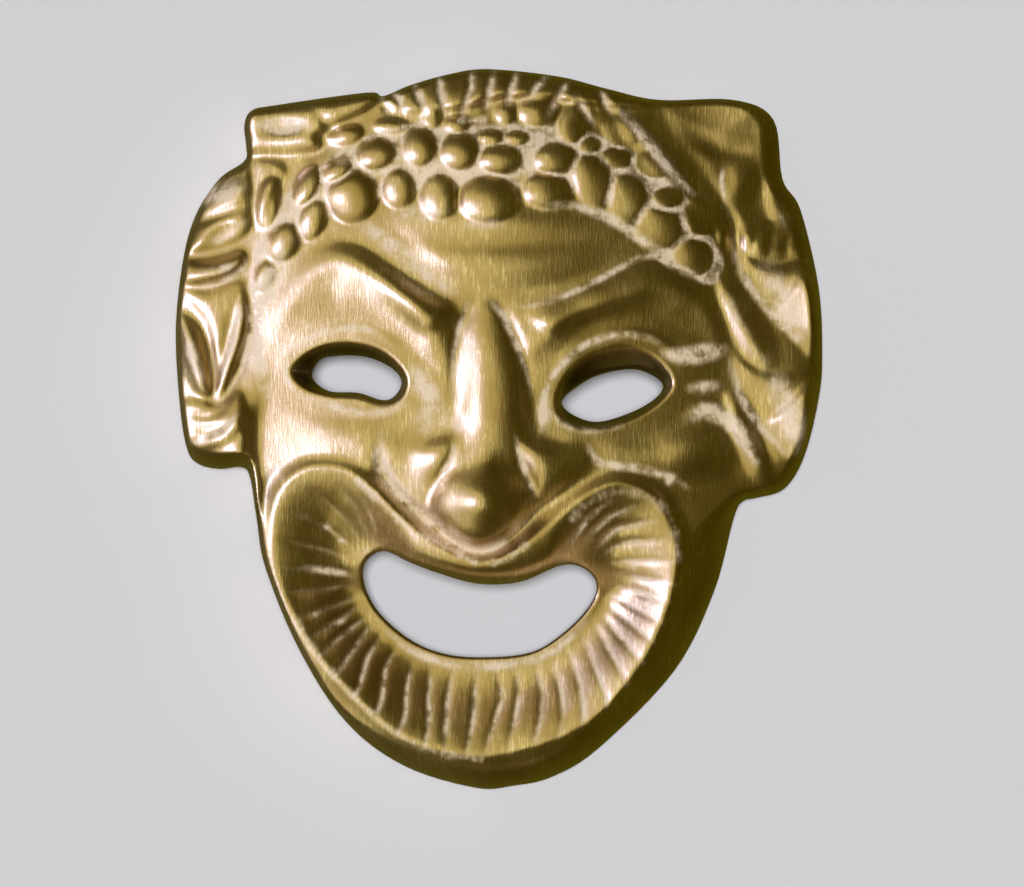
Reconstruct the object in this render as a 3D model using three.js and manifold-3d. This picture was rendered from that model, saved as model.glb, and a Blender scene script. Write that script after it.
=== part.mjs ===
// A comedy mask raised in copper sheet: a grinning face under a wreath of berries, with leaves at both
// sides. It lies face up on the flat rim of its hollow back. Lengths are millimetres: x runs to the
// viewer's right, y to the crown and z out of the face, from a point on the rim's plane below the middle.
import * as THREE from 'three';
import { mergeVertices } from 'three/addons/utils/BufferGeometryUtils.js';
import Module from 'manifold-3d';

// Sheet and body
const wallThickness = 2.6;
const wallAside = 3.8;
const rimDepth = 8;
const rimRound = 2.2;
const jawRound = 11.5;
const chinRound = 5.5;
const domeRise = 30;
const domeHalfWidth = 92;
const domeHalfHeight = 114;
const domeMiddle = [-3.3, -5.8];

// Mouth
const fluteCount = 48;
const fluteDepth = 1.9;
const fluteTwist = 1.5;
const mouthMiddle = [-3.9, -46.8];
const mouthStretch = 1.2;
const lipRise = 3.4;
const lipMiddleRise = 3;
const lipCornerRise = 1.6;
const funnelDepth = 17.5;
const funnelShallower = 4.5;
const lipRound = 5.5;

// Eyes, hair and berries
const eyeRevealDepth = 6.5;
const hairFanMiddle = [0, 36];
const hairLocks = 27;
const berryRise = 0.5;

// Spacing of the facets
const outlineStep = 4;
const edgeStep = 3.4;
const holeStep = 2.6;
const frontStep = 4;
const frontPatch = 0.5;
const backStep = 6.2;

const metal = { color: 0x9c7a35, roughness: 0.38, metalness: 1 };

const clamp01 = (v) => Math.min(1, Math.max(0, v));

function smoothStep(from, to, v) {
  const t = clamp01((v - from) / (to - from));
  return t * t * (3 - 2 * t);
}

function smoothMax(a, b, reach) {
  const t = clamp01(0.5 + (0.5 * (a - b)) / reach);
  return b + (a - b) * t + reach * t * (1 - t);
}

// Cross-sections of a raised form, from 1 on its middle line to 0 at its edge
const softSection = (u) => (1 - u * u) ** 2;
const creaseSection = (u) => (1 - u) ** 1.6;
const bridgeSection = (u) => (1 - u * u) ** 0.75;
const ballSection = (u) => (1 - u * u) ** 0.62;

// A smooth line through points [x, y, ...more]; every further number is carried along smoothly too.
function smoothLine(points, closed = false, steps = 6) {
  const count = points.length;
  const spans = closed ? count : count - 1;
  const pick = (k) => points[closed ? (k + count) % count : Math.min(count - 1, Math.max(0, k))];
  const line = [];
  for (let span = 0; span < spans; span++) {
    const [a, b, c, d] = [pick(span - 1), pick(span), pick(span + 1), pick(span + 2)];
    for (let step = 0; step < steps; step++) {
      const t = step / steps;
      line.push(b.map((v, k) => v + 0.5 * t * (c[k] - a[k] + t * (2 * a[k] - 5 * v + 4 * c[k] - d[k]
        + t * (3 * v - a[k] - 3 * c[k] + d[k])))));
    }
  }
  if (!closed) line.push([...points[count - 1]]);
  return line;
}

// The nearest place on a line: its distance, which side of the line, and the numbers carried there
function nearest(line, x, y, closed = false) {
  const spans = closed ? line.length : line.length - 1;
  let best = Infinity;
  let found = { distance: 0, left: false, carried: line[0] };
  for (let k = 0; k < spans; k++) {
    const a = line[k];
    const b = line[(k + 1) % line.length];
    const [ex, ey, dx, dy] = [b[0] - a[0], b[1] - a[1], x - a[0], y - a[1]];
    const t = clamp01((dx * ex + dy * ey) / (ex * ex + ey * ey || 1));
    const gap = (dx - t * ex) ** 2 + (dy - t * ey) ** 2;
    if (gap < best) {
      best = gap;
      found = { a, b, t, left: ex * dy - ey * dx > 0 };
    }
  }
  const { a, b, t, left } = found;
  return { distance: Math.sqrt(best), left, carried: a.map((v, k) => v + t * (b[k] - v)) };
}

// Distance to a closed line, above zero inside it
function insideBy(loop, x, y) {
  let inside = false;
  for (let k = 0, j = loop.length - 1; k < loop.length; j = k++) {
    const [x0, y0] = loop[j];
    const [x1, y1] = loop[k];
    if (y0 > y !== y1 > y && x < x0 + ((y - y0) / (y1 - y0)) * (x1 - x0)) inside = !inside;
  }
  const { distance } = nearest(loop, x, y, true);
  return inside ? distance : -distance;
}

function boxAround(line, margin) {
  const xs = line.map((p) => p[0]);
  const ys = line.map((p) => p[1]);
  const low = [Math.min(...xs) - margin, Math.min(...ys) - margin];
  const high = [Math.max(...xs) + margin, Math.max(...ys) + margin];
  return [...low, ...high];
}

// An open line moved to its left, by a distance for each of its points
function aside(line, distanceAt) {
  return line.map(([x, y], k) => {
    const [x0, y0] = line[Math.max(0, k - 1)];
    const [x1, y1] = line[Math.min(line.length - 1, k + 1)];
    const span = Math.hypot(x1 - x0, y1 - y0) || 1;
    return [x - ((y1 - y0) * distanceAt(k)) / span, y + ((x1 - x0) * distanceAt(k)) / span];
  });
}

// An oval: share 1 is its edge, and smaller shares are rings within it.
function oval(x0, y0, halfLong, halfWide, [cos, sin], share, count) {
  const ring = [];
  for (let k = 0; k < count; k++) {
    const turn = ((k + share) / count) * 2 * Math.PI;
    const [u, v] = [share * halfLong * Math.cos(turn), share * halfWide * Math.sin(turn)];
    ring.push([x0 + u * cos - v * sin, y0 + u * sin + v * cos]);
  }
  return ring;
}

// Each form has the box it lies in, its height at a place, and the lines that its facets follow: at its
// feet, and on the shoulders where it stops rising steeply.

// A ridge, or a groove where its height is below zero: points [x, y, height, width left, width right]
function ridge(points, section = softSection) {
  const line = smoothLine(points);
  const reach = Math.max(...line.map((p) => Math.max(p[3], p[4])));
  const height = (x, y) => {
    const { distance, left, carried } = nearest(line, x, y);
    const u = distance / Math.max(0.001, left ? carried[3] : carried[4]);
    return u < 1 ? carried[2] * section(u) : 0;
  };
  const narrow = reach < 4;
  const sides = [1, -1].map((side) => aside(line, (k) => side * line[k][side > 0 ? 3 : 4]));
  return { box: boxAround(line, reach), height, feet: narrow ? [line, ...sides] : [], shoulders: [] };
}

// An oval mound or hollow
function mound(x0, y0, halfLong, halfWide, degrees, rise, section = softSection) {
  const [cos, sin] = [Math.cos((degrees * Math.PI) / 180), Math.sin((degrees * Math.PI) / 180)];
  const reach = Math.max(halfLong, halfWide);
  const height = (x, y) => {
    const [dx, dy] = [x - x0, y - y0];
    const u = Math.hypot((dx * cos + dy * sin) / halfLong, (dy * cos - dx * sin) / halfWide);
    return u < 1 ? rise * section(u) : 0;
  };
  return { box: [x0 - reach, y0 - reach, x0 + reach, y0 + reach], height, feet: [], shoulders: [] };
}

// A pillow over a closed outline, which rises within a short way of its edge
function pillow(points, rise, shoulder) {
  const loop = smoothLine(points, true);
  const height = (x, y) => {
    const u = clamp01(insideBy(loop, x, y) / shoulder);
    return rise * Math.sqrt(1 - (1 - u) ** 2);
  };
  return { box: boxAround(loop, 0), height, feet: [loop], shoulders: [inset(loop, () => 0.3 * shoulder)] };
}

// A roof between two curves that share both ends. Upper points are [x, y, height, where the crest lies
// from the upper curve, 0, to the lower one, 1].
function roof(upperPoints, lowerPoints, rounding, fall) {
  const upper = smoothLine(upperPoints);
  const lower = smoothLine(lowerPoints);
  const loop = [...upper, ...lower.slice(1, -1).reverse()];
  const height = (x, y) => {
    if (insideBy(loop, x, y) <= 0) return 0;
    const above = nearest(upper, x, y);
    const t = above.distance / (above.distance + nearest(lower, x, y).distance || 1);
    const [, , rise, crest] = above.carried;
    if (t < crest) return rise * (1 - (1 - t / crest) ** 2) ** rounding;
    const v = (t - crest) / (1 - crest);
    return rise * (1 - fall * v - (1 - fall) * v * v);
  };
  const across = (share) => upper.map(([x, y, , crest]) => {
    const [x1, y1] = nearest(lower, x, y).carried;
    return [x + share * crest * (x1 - x), y + share * crest * (y1 - y)];
  });
  return { box: boxAround(loop, 0), height, feet: [upper, lower], shoulders: [across(0.3), across(1)] };
}

function total(forms, x, y) {
  let sum = 0;
  for (const { box, height } of forms) {
    if (x > box[0] && y > box[1] && x < box[2] && y < box[3]) sum += height(x, y);
  }
  return sum;
}

// Outlines

const outline = smoothLine([
  [-3, 99.5], [16.5, 97.5], [30.5, 94], [44.5, 91], [65.5, 91], [76.5, 85.5], [79, 69], [84, 60.5],
  [89, 39], [90, 20], [89, 8], [85, -8], [79.5, -17], [72, -19.5], [68, -20.5], [65.5, -25], [60, -45.5],
  [49, -67.5], [28, -89], [15, -97], [4, -99.5], [-6.5, -100], [-26, -94], [-42, -82], [-55, -62],
  [-64.5, -39], [-67, -25], [-69, -13.5], [-71.5, -11], [-77.5, -11.5], [-83.5, -10], [-86.5, -5.5],
  [-88.5, 8], [-89.5, 27.5], [-87.5, 46.5], [-84, 59], [-77.5, 69], [-70.5, 74], [-70, 78], [-70.5, 84],
  [-68.5, 88], [-62, 89.5], [-36.5, 93], [-32, 92], [-24.5, 95], [-14, 98],
], true);
const mouthHole = smoothLine([
  [-31.5, -34], [-24.5, -37], [-16.5, -40], [-5.5, -43], [6, -42.5], [17, -38], [23, -38.5], [27, -42.5],
  [26, -48], [19.5, -55.5], [9.5, -62], [-4, -63.5], [-15, -62.5], [-24.5, -58.5], [-33, -51],
  [-37, -43], [-36.5, -37],
], true);
const mouthCrest = smoothLine([
  [-4.5, -36.5], [-13, -34], [-21, -29], [-28.5, -22.5], [-34.5, -16.5], [-42, -11.5], [-51.5, -11],
  [-58, -15], [-61.5, -22], [-62.5, -32], [-60.5, -43], [-55, -55], [-48.5, -65], [-40, -74],
  [-29.5, -83.5], [-19, -88], [-4, -90.5], [12.5, -87], [25, -81], [35.5, -71.5], [43, -60.5],
  [47.5, -49], [49.5, -37], [48, -27.5], [42.5, -18.5], [34, -15], [27, -17], [19.5, -22], [12, -28.5],
  [4, -34],
], true);
const eyes = [
  {
    hole: [[-46.5, 19.5], [-37, 19.5], [-29.5, 16.5], [-26.5, 12.5], [-28.5, 8.5], [-32, 7.5],
      [-38.5, 9.5], [-46.5, 10], [-51, 13.5], [-50, 17.5]],
    lid: [[-57, 16], [-52.5, 21], [-45, 24], [-36.5, 23.5], [-29.5, 20], [-24.5, 14], [-25, 8.5],
      [-29, 5.5], [-37, 6.5], [-47, 8.5], [-54.5, 11]],
  },
  {
    hole: [[28, 14.5], [37, 16], [43, 14], [45.5, 11], [42, 7], [35, 3.5], [27, 1.5], [20.5, 3.5],
      [17.5, 7], [21.5, 11]],
    lid: [[16, 7], [18.5, 14], [24.5, 19.5], [33.5, 22.5], [42.5, 20], [48, 15], [49, 10.5], [43, 5.5],
      [35, 1.5], [26.5, -0.5], [18.5, 1.5]],
  },
].map(({ hole, lid }) => ({ hole: smoothLine(hole, true), lid: smoothLine(lid, true) }));
const holes = [mouthHole, ...eyes.map(({ hole }) => hole)];

// Face

const forehead = [
  mound(-2, 54.5, 46, 24, 0, 5),
  ridge([[-37, 54.5, 0, 3, 3], [-22, 56, 0.8, 5, 4.5], [-2.5, 56, 1.1, 5, 4.5], [17, 56, 0.8, 5, 4.5],
    [33.5, 53.5, 0, 3, 3]]),
  ridge([[-30, 46.5, 0, 4, 4], [-19, 44.5, 1.8, 6, 7], [-2.5, 44.5, 2.2, 7, 7], [12.5, 45, 1.8, 6.5, 6.5],
    [30.5, 49, 0, 4, 4]]),
  ridge([[-16.5, 38.5, 0, 2, 2], [-8, 36.5, -1.6, 2.5, 2.5], [3, 36, -2, 2.5, 2.5], [17, 38, -2, 2.2, 2.2],
    [29.5, 42.5, -1.6, 2, 2], [39, 46.5, -1.2, 2, 2], [46, 46.5, 0, 1.5, 1.5]], creaseSection),
];

const brows = [
  roof([[-63.5, 22, 0.3, 0.5], [-65, 26, 1.6, 0.5], [-63.5, 31.5, 3, 0.5], [-60, 38.5, 4.2, 0.45],
    [-55, 45.5, 5.4, 0.4], [-49.5, 49.5, 6.2, 0.34], [-42.5, 51.5, 6.8, 0.27], [-37, 50, 7.2, 0.25],
    [-30, 45.5, 7.6, 0.25], [-23.5, 40, 8, 0.28], [-16.5, 35.5, 8.2, 0.32], [-11.5, 34, 7.6, 0.4],
    [-10, 29, 6.4, 0.45], [-11, 22.5, 4.2, 0.5], [-12.5, 16, 0.2, 0.5]],
  [[-63.5, 22], [-59.5, 21], [-54.5, 23], [-48, 26], [-41.5, 28], [-34, 28], [-27.5, 25], [-21, 21],
    [-16.5, 18.5], [-12.5, 16]], 0.55, 0.55),
  roof([[8, 14, 0.2, 0.5], [5.5, 21.5, 3.8, 0.5], [3, 28, 6, 0.5], [1.5, 34, 6.6, 0.5], [6, 35, 7, 0.6],
    [14, 37, 7.4, 0.6], [22.5, 40, 7.2, 0.55], [29.5, 43, 7, 0.5], [39, 46.5, 6.6, 0.42],
    [47, 45.5, 6, 0.34], [53.5, 42, 5.2, 0.3], [59, 37, 4.2, 0.3], [62, 30, 3.2, 0.4],
    [63.5, 22.5, 1.6, 0.5], [64, 16, 0, 0.5]],
  [[8, 14], [11, 18], [16, 21.5], [21.5, 24], [28.5, 26], [37, 27], [45, 26.5], [53.5, 24], [60, 20],
    [64, 16]], 0.75, 0.7),
];

const eyeForms = [
  mound(-40.5, 16, 27, 17, 0, -5),
  mound(32.5, 11, 29, 19, -8, -5),
  mound(-19, 8.5, 11, 16, -10, -2.6),
  mound(12.5, 7.5, 9, 16, 10, -2.6),
  // lids
  ridge([[-59, 17, 0, 2, 2], [-54.5, 22.5, 1.8, 3, 2.6], [-46.5, 26, 2.4, 3.2, 2.8],
    [-36.5, 26, 2.4, 3.2, 2.8], [-28, 21.5, 1.8, 3, 2.5], [-23.5, 14, 0, 2, 2]]),
  ridge([[13, 2.5, 0, 2, 2], [14.5, 12, 1.6, 3, 2.6], [21, 20, 2.2, 3.2, 2.8], [30.5, 24, 2.6, 3.4, 2.8],
    [42.5, 23.5, 2.4, 3, 2.6], [51, 19, 1.4, 2.5, 2.2], [59, 19.5, 1.2, 2.2, 2.2], [62, 21.5, 0, 2, 2]]),
  ridge([[-57.5, 10, 0, 2, 2], [-49.5, 6.5, 1.2, 2.6, 2.6], [-38.5, 4, 1.5, 2.8, 2.8],
    [-28, 4, 1.1, 2.6, 2.6], [-22, 7.5, 0, 2, 2]]),
  ridge([[16, -1, 0, 2, 2], [25, -3, 1.2, 2.6, 2.6], [36.5, -0.5, 1.4, 2.8, 2.8], [45, 3.5, 1, 2.4, 2.4],
    [51, 8, 0, 2, 2]]),
];

const cheeks = [
  roof([[-69, -11.5, 1, 0.6], [-68, -3, 3, 0.6], [-64.5, 4.5, 4.2, 0.55], [-57.5, 8, 5.2, 0.5],
    [-47, 4.5, 5.4, 0.5], [-37, 0.5, 4.6, 0.5], [-31.5, -4.5, 3.6, 0.5], [-28, -13, 2.2, 0.5],
    [-22, -21.5, 1, 0.5], [-16.5, -27.5, 0, 0.5]],
  [[-69, -11.5], [-64, -10], [-57.5, -7], [-48, -5.5], [-39.5, -8], [-32.5, -13.5], [-26, -20.5],
    [-21, -25.5], [-16.5, -27.5]], 0.7, 0.35),
  roof([[69, -16, 1, 0.6], [67.5, -7, 3, 0.55], [62.5, 0.5, 4.2, 0.5], [54.5, 4, 5, 0.5],
    [44.5, 1.5, 5.2, 0.5], [35, -2.5, 4.6, 0.5], [29, -6, 3.4, 0.5], [25, -12, 1.8, 0.5],
    [18.5, -18.5, 0.8, 0.5], [12.5, -23.5, 0, 0.5]],
  [[69, -16], [62, -18], [54, -17.5], [45.5, -13.5], [37, -12], [28.5, -13.5], [21.5, -17.5],
    [12.5, -23.5]], 0.7, 0.4),
];

const noseRoot = [
  ridge([[-3.5, 30, 0.5, 6, 6], [-3, 20.5, 3, 11, 12], [-3, 8, 6, 14, 16], [-3.5, -3, 7, 15, 17],
    [-3.5, -9, 6, 15, 17]]),
  ridge([[-3.5, 35.5, 0.2, 1, 1], [-3.5, 32, 2, 3.6, 3.6], [-3.5, 24.5, 3.6, 6, 6],
    [-3.5, 16.5, 5.2, 7.4, 8.2], [-3, 8, 6.6, 8, 10.4], [-3, 2.5, 6.6, 8, 10.8], [-3, -3, 4.6, 7.6, 9],
    [-3.5, -6.5, 3, 7, 8]], bridgeSection),
];
const nostrils = [
  pillow([[-32, -4], [-27.5, -2.5], [-19, -2.5], [-12, -3], [-14.5, -11.5], [-18, -19], [-22.5, -19.5],
    [-27, -16], [-30.5, -10]], 4.6, 4.5),
  pillow([[5, -3], [12.5, -3], [21, -3.5], [26, -6], [26.5, -10], [22.5, -15], [16.5, -19],
    [11.5, -19.5], [8.5, -12.5]], 4.8, 5),
];
const noseTipOval = [-3.5, -19.5, 14.2, 13];
const noseTip = mound(...noseTipOval, 0, 17.5, ballSection);
const noseNeck = mound(-3.5, -10.5, 10.5, 12, 0, 13, ballSection);

const noseCreases = [
  ridge([[-10.5, -4, 0, 1.2, 1.2], [-13, -9, -2.4, 1.6, 1.6], [-16.5, -17, -2.6, 1.8, 1.8],
    [-18, -21, 0, 1.2, 1.2]], creaseSection),
  ridge([[4.5, -3, 0, 1.2, 1.2], [6, -8.5, -2.4, 1.6, 1.6], [9.5, -17, -2.6, 1.8, 1.8],
    [11, -20.5, 0, 1.2, 1.2]], creaseSection),
  ridge([[-4.5, 35.5, 0, 1, 1], [-7, 31.5, -1.6, 1.5, 1.5], [-9.5, 23.5, -2, 1.8, 1.8],
    [-11, 13.5, -1.4, 1.8, 1.8], [-11.5, 5.5, 0, 1.5, 1.5]], creaseSection),
  ridge([[-2, 36.5, 0, 1, 1], [1.5, 30.5, -2, 1.6, 1.6], [4.5, 22, -2.4, 2, 2], [7.5, 14, -1, 1.8, 1.8],
    [8.5, 9.5, 0, 1.5, 1.5]], creaseSection),
  ridge([[-32, -6.5, 0, 1.6, 1.6], [-30, -12.5, -1.2, 2.2, 2.2], [-26.5, -18.5, -1.6, 2.4, 2.4],
    [-19.5, -25, -1.8, 2.4, 2.4], [-13, -30.5, -2, 2.6, 2.6], [-4.5, -34, -2.2, 2.6, 2.6],
    [2.5, -30, -2, 2.6, 2.6], [8, -24.5, -1.4, 2.2, 2.2], [13.5, -21.5, 0, 2, 2]]),
];

const domeHeight = (x, y) => {
  const across = (x - domeMiddle[0]) / domeHalfWidth;
  const along = (y - domeMiddle[1]) / domeHalfHeight;
  const inside = 1 - across * across - along * along;
  return rimDepth + domeRise * (0.5 * (inside + Math.sqrt(inside * inside + 0.01))) ** 0.8;
};

// The mouth is a fluted funnel from the crest of the lips down to the hole. Returns how far a place
// lies from the hole, 0, to the crest, 1, and its turn about the middle of the mouth.
function mouthPlace(x, y) {
  const toCrest = insideBy(mouthCrest, x, y);
  const toHole = -insideBy(mouthHole, x, y);
  const out = clamp01(toHole / Math.max(toHole + toCrest, 0.001));
  const turn = Math.atan2(y - mouthMiddle[1], (x - mouthMiddle[0]) / mouthStretch);
  return { toCrest, out, turn };
}

const fluteTwistAt = (turn) => fluteTwist + 1.8 * Math.exp(-(((turn + 1.15) / 0.45) ** 2));

function mouthHeight(x, y, skin, dome) {
  const { toCrest, out, turn } = mouthPlace(x, y);
  const midLip = Math.exp(-(((x + 4) / 22) ** 2) - ((y + 37.5) / 12) ** 2);
  const crest = dome + lipRise + lipMiddleRise * midLip + lipCornerRise * smoothStep(-47, -14, y);
  if (toCrest <= 0) {
    const u = Math.min(1, -toCrest / lipRound);
    return skin + Math.max(crest - skin, 0) * (1 - u * u) ** 0.7;
  }
  const floor = crest - funnelDepth + funnelShallower * smoothStep(-47, -36, y);
  const aside = smoothStep(0.15, 0.55, Math.hypot((x + 4) / 60, (y + 31) / 14));
  const phase = (fluteCount * turn) / 2 + fluteTwistAt(turn) * out * out;
  const flute = Math.abs(Math.cos(phase)) ** 0.45 - 0.75;
  const depth = fluteDepth * smoothStep(0.16, 0.42, out) * smoothStep(1, 0.8, out) * (1 - midLip) * aside;
  const funnel = floor + (crest - floor) * smoothStep(0.08, 1.04, out) + depth * flute;
  const lip = floor + 3 + (crest - floor - 3) * Math.sqrt(1 - (1 - out) ** 2.2);
  const lipShare = clamp01(1.35 * Math.exp(-(((x + 4) / 25) ** 4))) * smoothStep(-47, -40.5, y);
  return funnel + (lip - funnel) * lipShare;
}

// Wreath, hair and leaves

// Berries lie side by side along an arc. Each is [step from the one before, length along, width across].
function berryRow(arc, berries) {
  const line = smoothLine(arc, false, 16);
  const row = [];
  let travelled = 0;
  for (const [step, long, wide] of berries) {
    travelled += step;
    let left = travelled;
    let k = 0;
    while (k < line.length - 2) {
      const span = Math.hypot(line[k + 1][0] - line[k][0], line[k + 1][1] - line[k][1]);
      if (left <= span) break;
      left -= span;
      k += 1;
    }
    const [dx, dy] = [line[k + 1][0] - line[k][0], line[k + 1][1] - line[k][1]];
    const span = Math.hypot(dx, dy);
    const x = line[k][0] + (dx * left) / span;
    const y = line[k][1] + (dy * left) / span;
    row.push({ x, y, along: [dx / span, dy / span], halfLong: long / 2, halfWide: wide / 2 });
  }
  return row;
}

const berries = [
  ...berryRow([[-65, 42], [-59.5, 51], [-51.5, 57.5], [-40, 63], [-27, 65.5], [-16, 63.5], [-2, 62.5],
    [13.5, 66], [27, 68], [37, 62.5], [45, 55], [54, 47]],
  [[0, 9, 6.2], [10.2, 10.4, 9], [10.6, 11, 8.4], [12.8, 14, 13.4], [13, 9.8, 9.8], [11.4, 11.2, 12.2],
    [14.2, 17.6, 13.4], [15.8, 13.4, 11.6], [13.8, 11, 11.6], [11.4, 11.8, 11], [10.8, 12.4, 12.8],
    [11.6, 11, 8.6]]),
  ...berryRow([[-59.5, 68], [-53, 67], [-45, 70.5], [-32.5, 75.5], [-21.5, 77.5], [-10, 76], [1.5, 73.5],
    [16, 74.5], [24, 77]],
  [[0, 5.5, 8.5], [6.7, 8, 10.4], [8.8, 9.2, 7.4], [13.4, 12.2, 9.2], [11.3, 11, 9.8], [11.6, 11.6, 9.8],
    [11.8, 12.2, 8.6], [14.6, 12.4, 9.2], [8, 6.6, 6.4]]),
  ...berryRow([[33, 73.5], [42.5, 72.5], [47, 62], [55, 57], [61, 51], [59, 45]],
    [[0, 8.6, 6.8], [9.4, 9.8, 6.6], [11, 8.6, 8], [9.8, 9.8, 10.4], [8.6, 11, 7.4]]),
  ...berryRow([[-44, 77.5], [-38, 80], [-26.5, 82.5], [-18.5, 83], [-10.5, 81.5], [-2, 80], [6, 79.5],
    [13, 80.5], [20.5, 83], [32.5, 80.5]],
  [[0, 8.4, 6.2], [6.6, 5.6, 5.6], [11.8, 6.2, 5], [8, 6.4, 9.2], [8.2, 6.8, 6.2], [8.6, 6.8, 5.6],
    [8, 6.8, 5.6], [7.1, 6.2, 5.6], [8, 9.8, 10.4], [12.4, 11, 8]]),
];

function berryHeight(x, y) {
  let top = 0;
  for (const { x: x0, y: y0, along, halfLong, halfWide } of berries) {
    const [dx, dy] = [x - x0, y - y0];
    const ahead = (dx * along[0] + dy * along[1]) / halfLong;
    const across = (dy * along[0] - dx * along[1]) / halfWide;
    const u = Math.hypot(ahead, across);
    if (u < 1) top = Math.max(top, berryRise * Math.sqrt(halfLong * halfWide) * (1 - u ** 3.2) ** 0.6);
  }
  return top;
}

const wreath = ridge([[-65.5, 38.5, 0, 4, 4], [-60.5, 52.5, 0.8, 6, 6], [-49.5, 65, 1.2, 7, 8],
  [-30, 73, 1.4, 10, 10], [-8, 74.5, 1.6, 11, 10], [17, 74.5, 1.6, 11, 10], [36.5, 67.5, 1.4, 10, 9],
  [50, 55, 1.2, 8, 8], [62, 40, 0, 5, 5]]);

const hairBand = roof([[-31.5, 89.5, 1, 0.4], [-24.5, 94.5, 1.6, 0.5], [-13.5, 97.5, 2.4, 0.5],
  [-2.5, 99, 2.6, 0.5], [11.5, 97.5, 2.4, 0.5], [25, 95, 2.2, 0.5], [39, 91.5, 1.8, 0.5],
  [45.5, 88, 0, 0.5]],
[[-31.5, 89.5], [-26, 85], [-13.5, 85.5], [-1, 86.5], [11.5, 85.5], [24, 86.5], [35, 86], [45.5, 88]],
0.6, 0.3);

// The locks fan out from a point on the forehead.
function hairHeight(x, y) {
  const band = total([hairBand], x, y);
  const fan = Math.atan2(x - hairFanMiddle[0], y - hairFanMiddle[1]);
  return band * (0.35 + 0.95 * Math.sqrt(Math.abs(Math.cos(hairLocks * fan + 0.3))));
}

const leavesLeft = [
  pillow([[-70, 88], [-60, 89.5], [-48, 91.5], [-37, 92.5], [-32.5, 91], [-34, 86], [-41.5, 83],
    [-49, 81], [-50, 77.5], [-60, 75], [-68.5, 73.5], [-70, 80]], 3.4, 5),
  mound(-59.5, 83, 9, 3.6, 0, -1.6),
  pillow([[-69, 74.5], [-63.5, 75.5], [-57.5, 75], [-59, 71], [-63.5, 63.5], [-65.5, 54.5],
    [-67.5, 58], [-68, 66]], 1.8, 3),
  pillow([[-69, 73], [-76.5, 69], [-82.5, 61], [-85.5, 50], [-84, 47], [-76.5, 48], [-70.5, 50.5],
    [-67.5, 55.5], [-67, 63.5], [-67.5, 70]], 4.2, 5.5),
  ridge([[-81.5, 57, 0, 1, 1], [-76.5, 59.5, -1.1, 1.5, 1.5], [-70, 62.5, 0, 1, 1]], creaseSection),
  pillow([[-86.5, 45.5], [-79, 45.5], [-71, 48.5], [-69, 46.5], [-70.5, 43], [-76.5, 39.5],
    [-84, 38.5], [-87.5, 40]], 3.6, 4),
  pillow([[-87.5, 38.5], [-80, 38], [-71.5, 40.5], [-69, 38.5], [-70, 34], [-74, 24.5], [-76.5, 16],
    [-78.5, 22], [-81, 29.5], [-85.5, 34]], 1.6, 4),
  pillow([[-88.5, 32.5], [-85, 30.5], [-81, 25], [-79, 18], [-78.5, 10], [-80.5, 8], [-84, 9.5],
    [-87.5, 16.5], [-89, 26]], 4.2, 4.5),
  pillow([[-70, 36.5], [-68.5, 30], [-69.5, 23], [-72.5, 16], [-76.5, 8.5], [-78, 10], [-76.5, 18.5],
    [-74, 28], [-72.5, 34]], 3.8, 3.4),
  pillow([[-87.5, 7], [-81.5, 8], [-76.5, 7], [-71.5, 11.5], [-69, 6], [-69.5, -3], [-73, -1],
    [-80, -3], [-85.5, -6], [-87.5, -0.5]], 2.4, 4),
  ridge([[-85.5, -5.5, 0, 1.6, 1.6], [-79.5, -3.5, 1.6, 1.8, 2.4], [-73, -0.5, 1.2, 1.8, 2.4],
    [-69, 2.5, 0, 1.5, 1.5]]),
];

const leavesRight = [
  pillow([[42.5, 89.5], [55.5, 90.5], [67.5, 89.5], [71.5, 88], [72, 80], [71.5, 70], [69, 64.5],
    [65, 62], [62.5, 62.5], [60, 67.5], [55.5, 74.5], [49.5, 81], [44, 85.5]], 5, 5),
  ridge([[53, 82.5, 0, 2, 2], [60, 78.5, -1.6, 2.6, 2.2], [62, 74.5, -1.8, 2, 2],
    [62, 68.5, -1.6, 1.6, 1.6], [62.5, 63, 0, 1.2, 1.2]], creaseSection),
  ridge([[39, 88, 0, 2, 2], [45, 79.5, -2, 3, 2.4], [53, 71, -2.4, 3, 2.6], [59, 62.5, -2.4, 3, 2.6],
    [64.5, 53.5, -2, 2.6, 2.4], [67, 48, 0, 2, 2]]),
  ridge([[55.5, 64.5, 0, 2, 2], [60, 59.5, 2.2, 2.4, 2.6], [62.5, 54, 2.2, 2.4, 2.6], [62.5, 48, 0, 2, 2]]),
  pillow([[74, 70], [77, 67], [80, 57], [76.5, 56], [74, 62]], 2.8, 2.6),
  pillow([[67.5, 54.5], [74, 58], [83, 57.5], [85, 51], [84.5, 46.5], [78, 44.5], [71, 45.5],
    [68, 49]], 3.6, 3.6),
  pillow([[65.5, 50.5], [69, 46.5], [75.5, 43.5], [85, 44.5], [88.5, 35.5], [88.5, 23.5], [86.5, 19],
    [80, 24.5], [73, 32.5], [68, 41.5]], 4.2, 4.6),
  pillow([[62, 39], [65.5, 34], [69.5, 26], [74, 19.5], [81, 15], [87.5, 14], [88, 5.5], [85, -4.5],
    [81.5, -9.5], [75.5, -2], [70, 7], [65.5, 19], [63, 28.5]], 4.2, 4.6),
  ridge([[71, 21.5, 0, 1, 1], [75.5, 14.5, -1.4, 2, 2], [83.5, 13, -1.2, 1.8, 1.8],
    [87.5, 13.5, 0, 1.2, 1.2]], creaseSection),
  pillow([[63.5, 17.5], [68, 7], [73, -2.5], [79, -10], [78, -16], [71, -17.5], [68, -11.5],
    [64.5, -0.5]], 3.4, 3.6),
  ridge([[65, 4.5, 0, 1.6, 1.6], [68, -3, 1.6, 2.2, 2.2], [71, -11, 0, 1.6, 1.6]]),
];

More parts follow.
